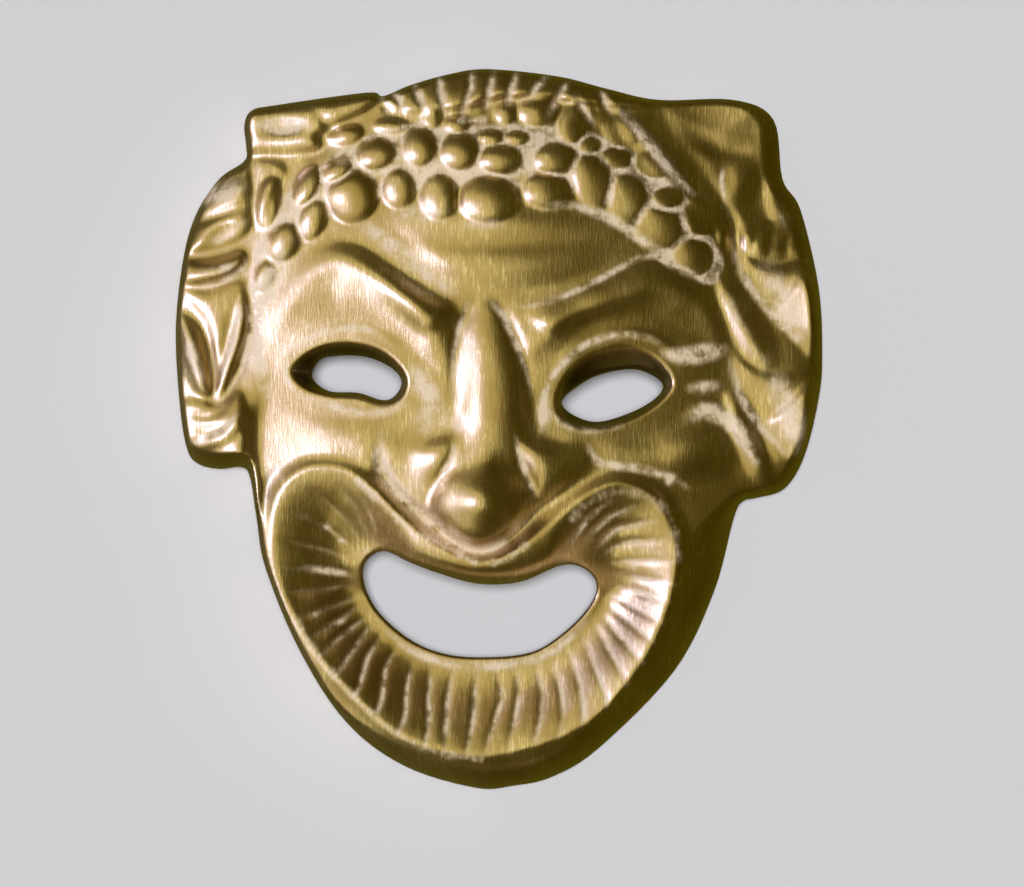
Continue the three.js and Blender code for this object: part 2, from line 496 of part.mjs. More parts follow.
const headForms = [wreath, ...leavesLeft, ...leavesRight];

// How far in from the outline the sheet is rolled down to the rim: sharp at the leaves and the left
// of the jaw, broad at its right and under the chin
function rollWidth(x, y) {
  const jaw = smoothStep(-14, -36, y);
  const chin = smoothStep(-72, -94, y);
  const right = smoothStep(6, 53, x);
  const cornerLeaf = Math.exp(-(((x - 74.5) / 5) ** 2) - ((y - 77.3) / 13) ** 2);
  const leafFoot = smoothStep(-65.6, -69.5, x) * smoothStep(-3, -9.1, y) * (1 - jaw);
  return rimRound + jaw * (jawRound * right + chinRound * chin * (1 - right))
    + rimRound * smoothStep(67, 83, x) * (1 - jaw) + 3.6 * cornerLeaf + 3.4 * leafFoot;
}

function frontHeight(x, y) {
  const edge = insideBy(outline, x, y);
  if (edge <= 0) return 0;
  const dome = domeHeight(x, y);
  let z = dome + total([...forehead, ...brows, ...eyeForms, ...cheeks, ...noseRoot, ...nostrils], x, y);
  const ball = smoothMax(total([noseTip], x, y), total([noseNeck], x, y), 5);
  z = smoothMax(z, dome + ball, 1.5) + total(noseCreases, x, y);
  z = mouthHeight(x, y, z, dome);
  z += total(headForms, x, y) + berryHeight(x, y) + hairHeight(x, y);
  for (const { hole, lid } of eyes) {
    const inLid = insideBy(lid, x, y);
    if (inLid <= 0) continue;
    const inHole = insideBy(hole, x, y);
    z -= eyeRevealDepth * clamp01(inLid / Math.max(inLid - inHole, 0.001)) ** 0.8;
  }
  const roll = clamp01(edge / rollWidth(x, y));
  return z * Math.sqrt(1 - (1 - roll) ** 2);
}

// The mean of the front over a small patch, which keeps facets from catching single creases
function evenFront(x, y) {
  let sum = 2 * frontHeight(x, y);
  for (const [dx, dy] of [[1, 0], [0, 1], [-1, 0], [0, -1]]) {
    sum += frontHeight(x + dx * frontPatch, y + dy * frontPatch);
  }
  return sum / 6;
}

// The back lies under the front by the wall thickness, and by a little more from steep places: it is
// where the top of a flattened ball passes when the ball is rolled under the front.
const ballOffsets = [[0, 0]];
for (const share of [0.55, 1]) {
  for (let k = 0; k < 12; k++) {
    const turn = (k / 12 + share / 24) * 2 * Math.PI;
    ballOffsets.push([share * Math.cos(turn), share * Math.sin(turn)]);
  }
}

function backHeight(x, y) {
  let lowest = Infinity;
  for (const [dx, dy] of ballOffsets) {
    const drop = wallThickness * Math.sqrt(1 - Math.min(1, dx * dx + dy * dy));
    lowest = Math.min(lowest, frontHeight(x + dx * wallAside, y + dy * wallAside) - drop);
  }
  return lowest;
}

// Facets

// Equal steps along a line
function stepsAlong(line, step, closed) {
  const ends = closed ? [...line, line[0]] : line;
  const lengths = [0];
  for (let k = 1; k < ends.length; k++) {
    lengths.push(lengths[k - 1] + Math.hypot(ends[k][0] - ends[k - 1][0], ends[k][1] - ends[k - 1][1]));
  }
  const count = Math.max(2, Math.round(lengths.at(-1) / step));
  const places = [];
  let k = 0;
  for (let n = 0; n < count + (closed ? 0 : 1); n++) {
    const goal = (lengths.at(-1) * n) / count;
    while (k < ends.length - 2 && lengths[k + 1] < goal) k += 1;
    const t = (goal - lengths[k]) / (lengths[k + 1] - lengths[k] || 1);
    const [from, to] = [ends[k], ends[k + 1]];
    places.push([from[0] + t * (to[0] - from[0]), from[1] + t * (to[1] - from[1])]);
  }
  return places;
}

// The outline moved inwards, each point along the bisector of its two edges
function inset(loop, distanceAt) {
  const turnsLeft = THREE.ShapeUtils.area(loop.map(([x, y]) => new THREE.Vector2(x, y))) > 0 ? 1 : -1;
  return loop.map(([x, y], k) => {
    const [x0, y0] = loop[(k + loop.length - 1) % loop.length];
    const [x1, y1] = loop[(k + 1) % loop.length];
    const span = Math.hypot(x1 - x0, y1 - y0);
    const distance = distanceAt(x, y);
    return [x - (turnsLeft * (y1 - y0) * distance) / span, y + (turnsLeft * (x1 - x0) * distance) / span];
  });
}

// A net of places that keeps each one a given distance from those already in it
class Net {
  constructor(boundary) {
    this.places = [...boundary];
    this.boundary = boundary;
  }

  add(places, gap, margin) {
    for (const [x, y] of places) {
      const crowded = this.places.some(([px, py]) => (px - x) ** 2 + (py - y) ** 2 < gap * gap);
      if (!crowded && insideBy(this.boundary, x, y) > margin) this.places.push([x, y]);
    }
  }

  // Staggered rows, shifted by a trace so that no four places share one circle
  fill(step, gap, margin) {
    const places = [];
    for (let row = 0, y = -102; y < 102; row++, y += step * 0.866) {
      for (let x = -92 + (row % 2) * step * 0.5; x < 92; x += step) {
        places.push([x + 0.07 * Math.sin(12.9 * x + 7.1 * y), y + 0.07 * Math.sin(5.3 * x + 11.7 * y)]);
      }
    }
    this.add(places, gap, margin);
  }
}

// Delaunay triangles, one place after another: those whose circle holds the new place are opened and
// filled again from it.
function triangles(places) {
  const reach = 4000;
  const all = [...places, [-reach, -reach], [reach, -reach], [0, reach]];
  const first = places.length;
  const circle = (a, b, c) => {
    const [ax, ay] = all[a];
    const [bx, by] = [all[b][0] - ax, all[b][1] - ay];
    const [cx, cy] = [all[c][0] - ax, all[c][1] - ay];
    const twice = 2 * (bx * cy - by * cx);
    const ux = (cy * (bx * bx + by * by) - by * (cx * cx + cy * cy)) / twice;
    const uy = (bx * (cx * cx + cy * cy) - cx * (bx * bx + by * by)) / twice;
    return { corners: [a, b, c], x: ax + ux, y: ay + uy, reach: ux * ux + uy * uy };
  };
  let open = [circle(first, first + 1, first + 2)];
  const done = [];
  const order = places.map((_, k) => k).sort((a, b) => places[a][0] - places[b][0]);
  for (const n of order) {
    const [x, y] = places[n];
    const rim = new Map();
    const kept = [];
    for (const t of open) {
      const dx = x - t.x;
      if (dx > 0 && dx * dx > t.reach) {
        done.push(t.corners);
      } else if (dx * dx + (y - t.y) ** 2 < t.reach) {
        for (let k = 0; k < 3; k++) {
          const [a, b] = [t.corners[k], t.corners[(k + 1) % 3]];
          if (rim.has(`${b},${a}`)) rim.delete(`${b},${a}`);
          else rim.set(`${a},${b}`, [a, b]);
        }
      } else {
        kept.push(t);
      }
    }
    open = kept;
    for (const [a, b] of rim.values()) open.push(circle(a, b, n));
  }
  return [...done, ...open.map((t) => t.corners)].filter((t) => t.every((k) => k < first));
}

// A closed body between a sheet of facets and the flat plane under its boundary
function bodyUnder(net, heightAt, floor) {
  const { places, boundary } = net;
  const positions = [];
  const onBoundary = (k) => k < boundary.length;
  const vertices = places.map(([x, y], k) => [x, y, onBoundary(k) ? floor : heightAt(x, y)]);
  for (const corners of triangles(places)) {
    const [a, b, c] = corners.map((k) => vertices[k]);
    const middle = [(a[0] + b[0] + c[0]) / 3, (a[1] + b[1] + c[1]) / 3];
    if (insideBy(boundary, ...middle) <= 0) continue;
    if (corners.every(onBoundary)) {
      // a tip: raised at its middle
      const top = [...middle, heightAt(...middle)];
      positions.push(...a, ...b, ...top, ...b, ...c, ...top, ...c, ...a, ...top);
    } else {
      positions.push(...a, ...b, ...c);
    }
  }
  const flat = boundary.map(([x, y]) => new THREE.Vector2(x, y));
  for (const [a, b, c] of THREE.ShapeUtils.triangulateShape(flat, [])) {
    const up = THREE.ShapeUtils.area([flat[a], flat[b], flat[c]]) > 0;
    for (const k of up ? [a, c, b] : [a, b, c]) positions.push(...boundary[k], floor);
  }
  const geometry = new THREE.BufferGeometry();
  geometry.setAttribute('position', new THREE.Float32BufferAttribute(positions, 3));
  return geometry;
}

// A straight-sided plug of a hole's outline, longer than the mask is deep
function plug(hole) {
  const shape = new THREE.Shape(stepsAlong(hole, holeStep, true).map(([x, y]) => new THREE.Vector2(x, y)));
  const depth = 2 * funnelDepth + domeRise;
  const geometry = new THREE.ExtrudeGeometry(shape, { depth, bevelEnabled: false });
  geometry.translate(0, 0, -1);
  return geometry;
}

const wasm = await Module();
wasm.setup();

function solid(geometry) {
  const bare = new THREE.BufferGeometry();
  bare.setAttribute('position', geometry.getAttribute('position'));
  if (geometry.index) bare.setIndex(geometry.index);
  const merged = mergeVertices(bare, 1e-5);
  return new wasm.Manifold(new wasm.Mesh({
    numProp: 3,
    vertProperties: new Float32Array(merged.getAttribute('position').array),
    triVerts: new Uint32Array(merged.index.array),
  }));
}

// Places along the flutes: one line in each groove and one on each rib, found by walking out from the
// middle of the mouth until the right share of the funnel is reached
function flutePlaces() {
  const places = [];
  for (let half = 0; half < 2 * fluteCount; half++) {
    for (const out of [0.2, 0.4, 0.6, 0.8, 0.92]) {
      const phase = (half * Math.PI) / 2;
      let turn = (2 * phase) / fluteCount;
      turn = (2 * (phase - fluteTwistAt(turn - Math.PI) * out * out)) / fluteCount - Math.PI;
      const [dx, dy] = [mouthStretch * Math.cos(turn), Math.sin(turn)];
      let [near, far] = [2, 75];
      for (let k = 0; k < 18; k++) {
        const mid = (near + far) / 2;
        const place = mouthPlace(mouthMiddle[0] + dx * mid, mouthMiddle[1] + dy * mid);
        if (place.toCrest > 0 && place.out < out) near = mid;
        else far = mid;
      }
      places.push([mouthMiddle[0] + dx * near, mouthMiddle[1] + dy * near]);
    }
  }
  return places;
}

const berryPlaces = berries.flatMap(({ x, y, along, halfLong, halfWide }) => [
  [x, y],
  ...oval(x, y, halfLong, halfWide, along, 1.02, 9),
  ...oval(x, y, halfLong, halfWide, along, 0.68, 7),
]);

function frontBody() {
  const boundary = stepsAlong(outline, outlineStep, true);
  const net = new Net(boundary);
  const follow = (forms, gap, linesOf) => {
    for (const line of forms.flatMap(linesOf)) net.add(stepsAlong(line, edgeStep, false), gap, 1.6);
  };
  const leaves = [...leavesLeft, ...leavesRight];
  net.add(inset(boundary, (x, y) => 0.22 * rollWidth(x, y)), 0.4, 0.2);
  net.add(inset(boundary, rollWidth), 1.4, 1.4);
  net.add(inset(boundary, (x, y) => 0.58 * rollWidth(x, y)), 1.8, 1.4);
  net.add(stepsAlong(mouthCrest, edgeStep, true), 1.6, 1);
  net.add(flutePlaces(), 1, 3);
  for (const { hole, lid } of eyes) {
    net.add(stepsAlong(lid, edgeStep, true), 1.4, 3);
    net.add(stepsAlong(hole, edgeStep, true), 1.4, 3);
  }
  follow(noseCreases, 1.1, (form) => form.feet);
  net.add(oval(...noseTipOval, [1, 0], 0.99, 22), 1.2, 3);
  net.add(oval(...noseTipOval, [1, 0], 0.82, 18), 1.2, 3);
  net.add(berryPlaces, 1.3, 2);
  follow([...nostrils, ...leaves], 1.3, (form) => form.feet);
  follow([...nostrils, ...leaves], 1.1, (form) => form.shoulders);
  follow([...brows, ...cheeks, hairBand], 1.6, (form) => form.feet);
  follow([...brows, ...cheeks, hairBand], 1.4, (form) => form.shoulders);
  net.fill(frontStep, 0.62 * frontStep, 2);
  return bodyUnder(net, evenFront, 0);
}

function hollowBody() {
  const boundary = inset(stepsAlong(outline, outlineStep, true), () => wallThickness);
  const net = new Net(boundary);
  net.add(inset(boundary, () => 0.7), 2, 0.6);
  net.add(inset(boundary, () => 3.2), 3, 2.4);
  for (const hole of holes) {
    const ring = stepsAlong(hole, outlineStep, true);
    net.add(ring, 1.5, 3);
    net.add(inset(ring, () => -wallAside), 2.2, 3);
  }
  net.fill(backStep, 0.7 * backStep, 3);
  return bodyUnder(net, backHeight, -1);
}

function maskGeometry() {
  let body = solid(frontBody()).subtract(solid(hollowBody()));
  for (const hole of holes) body = body.subtract(solid(plug(hole)));
  const { vertProperties, triVerts } = body.getMesh();
  const geometry = new THREE.BufferGeometry();
  geometry.setAttribute('position', new THREE.BufferAttribute(new Float32Array(vertProperties), 3));
  geometry.setIndex(new THREE.BufferAttribute(new Uint32Array(triVerts), 1));
  geometry.computeBoundingBox();
  const middle = geometry.boundingBox.getCenter(new THREE.Vector3());
  geometry.translate(-middle.x, -middle.y, 0);
  geometry.computeVertexNormals();
  return geometry;
}

const mask = new THREE.Mesh(maskGeometry(), new THREE.MeshStandardMaterial(metal));
mask.name = 'mask';

const object = new THREE.Group();
object.add(mask);

export default object;
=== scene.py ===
# A comedy mask in thin golden copper alloy: grinning face, wreath of berries, leaves at both sides.
# It lies face up. Shapes are worked out in millimetres and put into the mesh in metres.
import math

import bpy
import numpy as np
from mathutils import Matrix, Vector
from mathutils.geometry import delaunay_2d_cdt


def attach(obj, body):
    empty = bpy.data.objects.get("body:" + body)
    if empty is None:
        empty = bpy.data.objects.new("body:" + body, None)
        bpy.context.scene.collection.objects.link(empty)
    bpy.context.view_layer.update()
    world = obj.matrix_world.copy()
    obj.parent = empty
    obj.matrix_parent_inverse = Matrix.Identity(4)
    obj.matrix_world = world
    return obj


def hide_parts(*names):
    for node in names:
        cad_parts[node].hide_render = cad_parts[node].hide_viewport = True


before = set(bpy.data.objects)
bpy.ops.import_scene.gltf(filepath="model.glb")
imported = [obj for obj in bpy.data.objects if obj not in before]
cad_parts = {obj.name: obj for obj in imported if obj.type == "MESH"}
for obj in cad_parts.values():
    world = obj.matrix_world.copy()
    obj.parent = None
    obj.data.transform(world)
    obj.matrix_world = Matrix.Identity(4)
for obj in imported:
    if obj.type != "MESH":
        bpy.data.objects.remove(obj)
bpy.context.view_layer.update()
mm = 0.001

# Lines and distances

curveSteps = 6  # straight steps that a smooth line takes from one of its points to the next
placesAtOnce = 8192


def smoothLine(points, closed=False):
    # Each stretch between two points is a cubic whose slope at a point is half the step between its
    # two neighbours. Numbers after x and y are carried along the line in the same way.
    p = np.asarray(points, float)
    if closed:
        a, b, c, d = np.roll(p, 1, 0), p, np.roll(p, -1, 0), np.roll(p, -2, 0)
    else:
        ends = np.vstack([p[:1], p, p[-1:]])
        a, b, c, d = ends[:-3], ends[1:-2], ends[2:-1], ends[3:]
    t = (np.arange(curveSteps) / curveSteps)[None, :, None]
    a, b, c, d = (q[:, None, :] for q in (a, b, c, d))
    line = b + 0.5 * t * (c - a + t * (2 * a - 5 * b + 4 * c - d + t * (3 * b - a - 3 * c + d)))
    line = line.reshape(-1, p.shape[1])
    return line if closed else np.vstack([line, p[-1:]])


def nearestOn(line, x, y, closed=False):
    # Distance to the nearest stretch of a line, whether the place lies left of it, and what it carries
    # there. Places are taken some thousands at a time, which is quicker.
    ends = np.vstack([line, line[:1]]) if closed else line
    allX, allY = np.ravel(x), np.ravel(y)
    distance, lies = np.empty(allX.size), np.empty(allX.size, bool)
    where = np.empty(allX.size)
    for start in range(0, allX.size, placesAtOnce):
        now = slice(start, start + placesAtOnce)
        px, py = allX[now], allY[now]
        best, left, at = np.full(px.size, np.inf), np.zeros(px.size, bool), np.zeros(px.size)
        for k in range(len(ends) - 1):
            ex, ey = ends[k + 1, :2] - ends[k, :2]
            dx, dy = px - ends[k, 0], py - ends[k, 1]
            t = np.clip((dx * ex + dy * ey) / max(ex * ex + ey * ey, 1e-9), 0, 1)
            gap = (dx - t * ex) ** 2 + (dy - t * ey) ** 2
            closer = gap < best
            best[closer], at[closer] = gap[closer], k + t[closer]
            left[closer] = (ex * dy - ey * dx > 0)[closer]
        distance[now], lies[now], where[now] = np.sqrt(best), left, at
    k = np.minimum(where.astype(int), len(ends) - 2)
    t = (where - k)[:, None]
    carried = ends[k] * (1 - t) + ends[k + 1] * t
    return distance.reshape(np.shape(x)), lies.reshape(np.shape(x)), carried.reshape(*np.shape(x), -1)


def insideBy(loop, x, y):
    # Distance to a closed line, above zero inside it
    inside = np.zeros(x.shape, bool)
    for (x0, y0), (x1, y1) in zip(loop[:, :2], np.roll(loop[:, :2], -1, 0)):
        if y0 != y1:
            inside ^= ((y0 > y) != (y1 > y)) & (x < x0 + (y - y0) / (y1 - y0) * (x1 - x0))
    distance = nearestOn(loop, x, y, True)[0]
    return np.where(inside, distance, -distance)


def distanceAlong(line):
    return np.concatenate([[0], np.cumsum(np.hypot(*np.diff(line, axis=0).T))])


def smoothStep(start, end, v):
    t = np.clip((v - start) / (end - start), 0, 1)
    return t * t * (3 - 2 * t)


def smoothMax(a, b, reach):
    # The larger of the two, rounded off where they differ by less than the reach
    t = np.clip(0.5 + 0.5 * (a - b) / reach, 0, 1)
    return b + (a - b) * t + reach * t * (1 - t)


# Cross-sections of a raised form, from 1 on its middle line to 0 at its edge
sections = {
    "soft": lambda u: (1 - u * u) ** 2,
    "crease": lambda u: (1 - u) ** 1.6,
    "bridge": lambda u: 1 - u ** 2.9,
    "ball": lambda u: (1 - u * u) ** 0.62,
}

# The relief is a height field on a fine grid.
grid = {"pitch": 0.4, "halfWidth": 92.4, "halfHeight": 102.8}
gridX = np.arange(-grid["halfWidth"], grid["halfWidth"] + 0.01, grid["pitch"])
gridY = np.arange(-grid["halfHeight"], grid["halfHeight"] + 0.01, grid["pitch"])
fullX, fullY = np.meshgrid(gridX, gridY)


def flat():
    return np.zeros(fullX.shape)


def windowRound(line, margin):
    # The part of the grid that a line and a margin round it cover
    low, high = line[:, :2].min(0) - margin, line[:, :2].max(0) + margin
    rows = slice(*np.searchsorted(gridY, (low[1], high[1])))
    columns = slice(*np.searchsorted(gridX, (low[0], high[0])))
    return rows, columns


def addRidge(field, points, section="soft"):
    # Points are [x, y, height, width], with a fifth number where the width right of the line is another
    # than that left of it. Height falls off by the section of distance over width. A groove has heights
    # below zero.
    line = smoothLine([[*p, p[3]][:5] for p in points])
    part = windowRound(line, line[:, 3:5].max())
    distance, left, carried = nearestOn(line, fullX[part], fullY[part])
    u = distance / np.maximum(np.where(left, carried[..., 3], carried[..., 4]), 0.001)
    field[part] += np.where(u < 1, carried[..., 2] * sections[section](np.minimum(u, 1)), 0)


def ovalPlace(x0, y0, halfLong, halfWide, degrees, x, y):
    # 0 at the middle of a turned oval and 1 on its edge
    cos, sin = math.cos(math.radians(degrees)), math.sin(math.radians(degrees))
    dx, dy = x - x0, y - y0
    return np.hypot((dx * cos + dy * sin) / halfLong, (dy * cos - dx * sin) / halfWide)


def addMound(field, x0, y0, halfLong, halfWide, degrees, rise, section="soft"):
    part = windowRound(np.array([[x0, y0]]), max(halfLong, halfWide))
    u = ovalPlace(x0, y0, halfLong, halfWide, degrees, fullX[part], fullY[part])
    field[part] += np.where(u < 1, rise * sections[section](np.minimum(u, 1)), 0)


def addPillow(field, points, rise, shoulder):
    # A closed outline that is raised: it climbs as 1 - (1 - u)² within the shoulder, level inside that
    loop = smoothLine(points, True)
    part = windowRound(loop, 0)
    u = np.clip(insideBy(loop, fullX[part], fullY[part]) / shoulder, 0, 1)
    field[part] += rise * (1 - (1 - u) ** 2)


def grooves(lines, depth, width, section="crease"):
    # Grooves of one depth and half width that run out at both ends. Where they meet the deeper one counts.
    field = flat()
    for points in lines:
        fades = [0.2] + [1] * (len(points) - 2) + [0.2]
        one = flat()
        addRidge(one, [[x, y, -depth * f, width] for (x, y), f in zip(points, fades)], section)
        field = np.minimum(field, one)
    return field


def addSerrated(field, points, height, halfWidth, every):
    # A band whose height goes up and down along it, about once in every so many millimetres. Slower sines
    # make the teeth and the width uneven.
    line = smoothLine(points)
    part = windowRound(line, halfWidth)
    distance, _, carried = nearestOn(np.column_stack([line, distanceAlong(line)]), fullX[part], fullY[part])
    along = carried[..., 2] / every
    wave = 0.5 + 0.5 * np.cos(2 * math.pi * (along + 0.25 * np.sin(1.3 * along) + 0.2 * np.sin(2.9 * along)))
    reach = halfWidth * (0.75 + 0.25 * np.sin(1.7 * along))
    field[part] += height * (1 - np.minimum(distance / reach, 1) ** 2) * (0.35 + 0.65 * wave)


def addRoof(field, upperPoints, lowerPoints, rounding, fall):
    # Between two curves that share both ends. The share of the way across, t, is the distance to the
    # upper curve over the sum of both. Height climbs to the crest and then falls as (1 - v) to a power,
    # fall. Upper points are [x, y, height, share at which the crest lies].
    upper, lower = smoothLine(upperPoints), smoothLine(lowerPoints)
    loop = np.vstack([upper[:, :2], lower[-2:0:-1, :2]])
    part = windowRound(loop, 0)
    x, y = fullX[part], fullY[part]
    above, _, carried = nearestOn(upper, x, y)
    below = nearestOn(lower, x, y)[0]
    t = above / np.maximum(above + below, 0.001)
    crest = carried[..., 3]
    climb = (1 - np.clip(1 - t / crest, 0, 1) ** 2) ** rounding
    v = np.clip((t - crest) / (1 - crest), 0, 1)
    shape = np.where(t < crest, climb, (1 - v) ** fall)
    field[part] += np.where(insideBy(loop, x, y) > 0, carried[..., 2] * shape, 0)


def blur(field, radius):
    # Mean of the places round each one, weighted by exp(-distance² / 2 radius²), along rows and columns
    reach = int(math.ceil(3 * radius / grid["pitch"]))
    weights = np.exp(-0.5 * (np.arange(-reach, reach + 1) * grid["pitch"] / radius) ** 2)
    weights /= weights.sum()
    for axis in (0, 1):
        pad = [(reach, reach) if k == axis else (0, 0) for k in (0, 1)]
        wide = np.pad(field, pad, mode="edge")
        count = field.shape[axis]
        field = sum(w * np.take(wide, range(k, k + count), axis) for k, w in enumerate(weights))
    return field


def readField(field, x, y):
    # Cubic reading of the grid at any place
    u = np.clip((x - gridX[0]) / grid["pitch"], 1, len(gridX) - 3)
    v = np.clip((y - gridY[0]) / grid["pitch"], 1, len(gridY) - 3)
    i, j = u.astype(int), v.astype(int)

    def weights(t):
        return (0.5 * t * (-1 + t * (2 - t)), 1 + 0.5 * t * t * (3 * t - 5),
                0.5 * t * (1 + t * (4 - 3 * t)), 0.5 * t * t * (t - 1))

    across, along = weights(u - i), weights(v - j)
    return sum(along[n] * across[m] * field[j + n - 1, i + m - 1] for n in range(4) for m in range(4))


# Outlines

outline = smoothLine([
    [-3, 99.5], [16.5, 97.5], [30.5, 94], [44.5, 91], [65.5, 91], [76.5, 85.5], [79, 69], [84, 60.5],
    [89, 39], [90, 20], [89, 8], [85, -8], [79.5, -17], [72, -19.5], [68, -20.5], [65.5, -25], [60, -45.5],
    [49, -67.5], [28, -89], [15, -97], [4, -99.5], [-6.5, -100], [-26, -94], [-42, -82], [-55, -62],
    [-64.5, -39], [-67, -25], [-69, -13.5], [-71.5, -11], [-77.5, -11.5], [-83.5, -10], [-86.5, -5.5],
    [-88.5, 8], [-89.5, 27.5], [-87.5, 46.5], [-84, 59], [-77.5, 69], [-70.5, 74], [-70, 78], [-70.5, 84],
    [-68.5, 88], [-62, 89.5], [-36.5, 93], [-32, 92], [-24.5, 95], [-14, 98]], True)
mouthHole = smoothLine([
    [-31.5, -34], [-24.5, -37], [-16.5, -40], [-5.5, -43], [6, -42.5], [17, -38], [23, -38.5], [27, -42.5],
    [26, -48], [19.5, -55.5], [9.5, -62], [-4, -63.5], [-15, -62.5], [-24.5, -58.5], [-33, -51], [-37, -43],
    [-36.5, -37]], True)
mouthCrest = smoothLine([
    [-4.5, -36.5], [-13, -34], [-21, -29], [-28.5, -22.5], [-34.5, -16.5], [-42, -11.5], [-51.5, -11],
    [-58, -15], [-61.5, -22], [-62.5, -32], [-60.5, -43], [-55, -55], [-48.5, -65], [-40, -74],
    [-29.5, -83.5], [-19, -88], [-4, -90.5], [12.5, -87], [25, -81], [35.5, -71.5], [43, -60.5],
    [47.5, -49], [49.5, -37], [48, -27.5], [42.5, -18.5], [34, -15], [27, -17], [19.5, -22], [12, -28.5],
    [4, -34]], True)
leftEyeHole = smoothLine([
    [-46.5, 19.5], [-37, 19.5], [-29.5, 16.5], [-26.5, 12.5], [-28.5, 8.5], [-32, 7.5], [-38.5, 9.5],
    [-46.5, 10], [-51, 13.5], [-50, 17.5]], True)
leftLid = smoothLine([
    [-57, 15.5], [-52.5, 20.5], [-45, 23.2], [-36.5, 22.8], [-29.5, 19.5], [-25, 13.5], [-26.4, 8],
    [-31, 6.2], [-38, 8], [-46.5, 8.8], [-53.5, 11]], True)
rightEyeHole = smoothLine([
    [28, 14.5], [37, 16], [43, 14], [45.5, 11], [42, 7], [35, 3.5], [27, 1.5], [20.5, 3.5], [17.5, 7],
    [21.5, 11]], True)
rightLid = smoothLine([
    [16, 7], [18.5, 14], [24.5, 19.5], [33.5, 22.5], [41.5, 20.4], [46.4, 16], [47.8, 11], [43, 5.8],
    [35, 1.5], [26.5, -0.5], [18.5, 1.5]], True)
holes = [mouthHole, leftEyeHole, rightEyeHole]

# The sheet and its rim
body = {
    "wall": 2.6,
    "rimDepth": 8,
    "rimRound": 2.2,
    "jawRound": 11.5,
    "chinRound": 4.2,
    "domeRise": 30,
    "domeHalfWidth": 92,
    "domeHalfHeight": 114,
    "domeMiddle": (-3.3, -5.8),
    "cornerLeafRound": 3.6,
    "leafFootRound": 3.4,
    "holeRound": 1.3,
    "holeDrop": 1.7,
    "lidDepth": 6.5,
    "innerWallRun": 0.5,
    "leftBorderLift": 4.5,
    "rightBorderLift": 8,
}


def domeField():
    # Rim depth plus a power of 1 - (x/a)² - (y/b)², eased to stay above zero
    across = (fullX - body["domeMiddle"][0]) / body["domeHalfWidth"]
    along = (fullY - body["domeMiddle"][1]) / body["domeHalfHeight"]
    inside = 1 - across ** 2 - along ** 2
    return body["rimDepth"] + body["domeRise"] * (0.5 * (inside + np.sqrt(inside ** 2 + 0.01))) ** 0.8


def rollWidth(x, y):
    # How far in from the outline the sheet is rolled down to the rim: more at the right border, the
    # jaw and the chin, and at the leaves' upper right corner and lower left foot
    jaw = smoothStep(-14, -36, y)
    chin = smoothStep(-72, -94, y)
    right = smoothStep(6, 53, x)
    cornerLeaf = np.exp(-((x - 74.5) / 5) ** 2 - ((y - 77.3) / 13) ** 2)
    leafFoot = smoothStep(-65.6, -69.5, x) * smoothStep(-3, -9.1, y) * (1 - jaw)
    return (body["rimRound"] * (1 + smoothStep(67, 83, x) * (1 - jaw))
            + body["cornerLeafRound"] * cornerLeaf + body["leafFootRound"] * leafFoot
            + jaw * (body["jawRound"] * right + body["chinRound"] * chin * (1 - right)))


def rollShare(edge, x, y):
    # Quarter round: 0 at the outline, 1 where the roll ends
    u = np.clip(edge / rollWidth(x, y), 0, 1)
    return np.sqrt(1 - (1 - u) ** 2)


# How far each part's forms are blurred
softness = {
    "forehead": 0.8,
    "brows": 0.9,
    "eyes": 0.5,
    "cheeks": 0.7,
    "bridge": 0.7,
    "wings": 1.2,
    "noseBall": 0.8,
    "noseCreases": 0.5,
    "mouth": 0.6,
    "berries": 0.35,
    "hair": 0.4,
    "leftLeaves": 0.6,
    "rightLeaves": 0.7,
    "all": 0.3,
}


# Forehead, brows, eyes, cheeks and nose

def foreheadField():
    field = flat()
    addMound(field, 0, 54.5, 48, 24, 0, 3.6)
    # folds
    addRidge(field, [
        [-40, 57, 0, 4], [-24, 56.5, 0.5, 5], [-2.5, 56, 0.8, 5], [17, 55.5, 0.7, 5], [36, 53, 0, 4]])
    addRidge(field, [
        [-28, 49, 0, 5], [-18, 45.6, 1.4, 6.5], [-2.5, 44, 2, 7, 7.5], [12.5, 44.6, 1.8, 7],
        [32, 49.5, 0, 5]])
    # the forehead sinks toward the brows
    addRidge(field, [
        [-56, 51, 0, 5, 2.4], [-46, 54, -1.8, 8, 3.4], [-37, 52, -2.8, 10, 3.4], [-29, 46.5, -3.6, 10, 3.4],
        [-22, 41, -3.4, 9, 3.4], [-15.5, 37, -2.4, 7, 3], [-8, 35.8, 0, 4, 2]])
    addRidge(field, [
        [-16.5, 37, 0, 2], [-8, 36.3, -1.2, 3, 2.6], [3, 35.6, -1.8, 3.4, 2.6], [15, 37, -1.8, 3.8, 2.2],
        [25, 41, -1.6, 3.8, 2], [33, 45, -1.4, 3.4, 1.8], [40, 47.5, -1.2, 3, 1.6], [48, 46, -1, 2.4, 1.6],
        [56, 41, 0, 2, 1.5]])
    return blur(field, softness["forehead"])


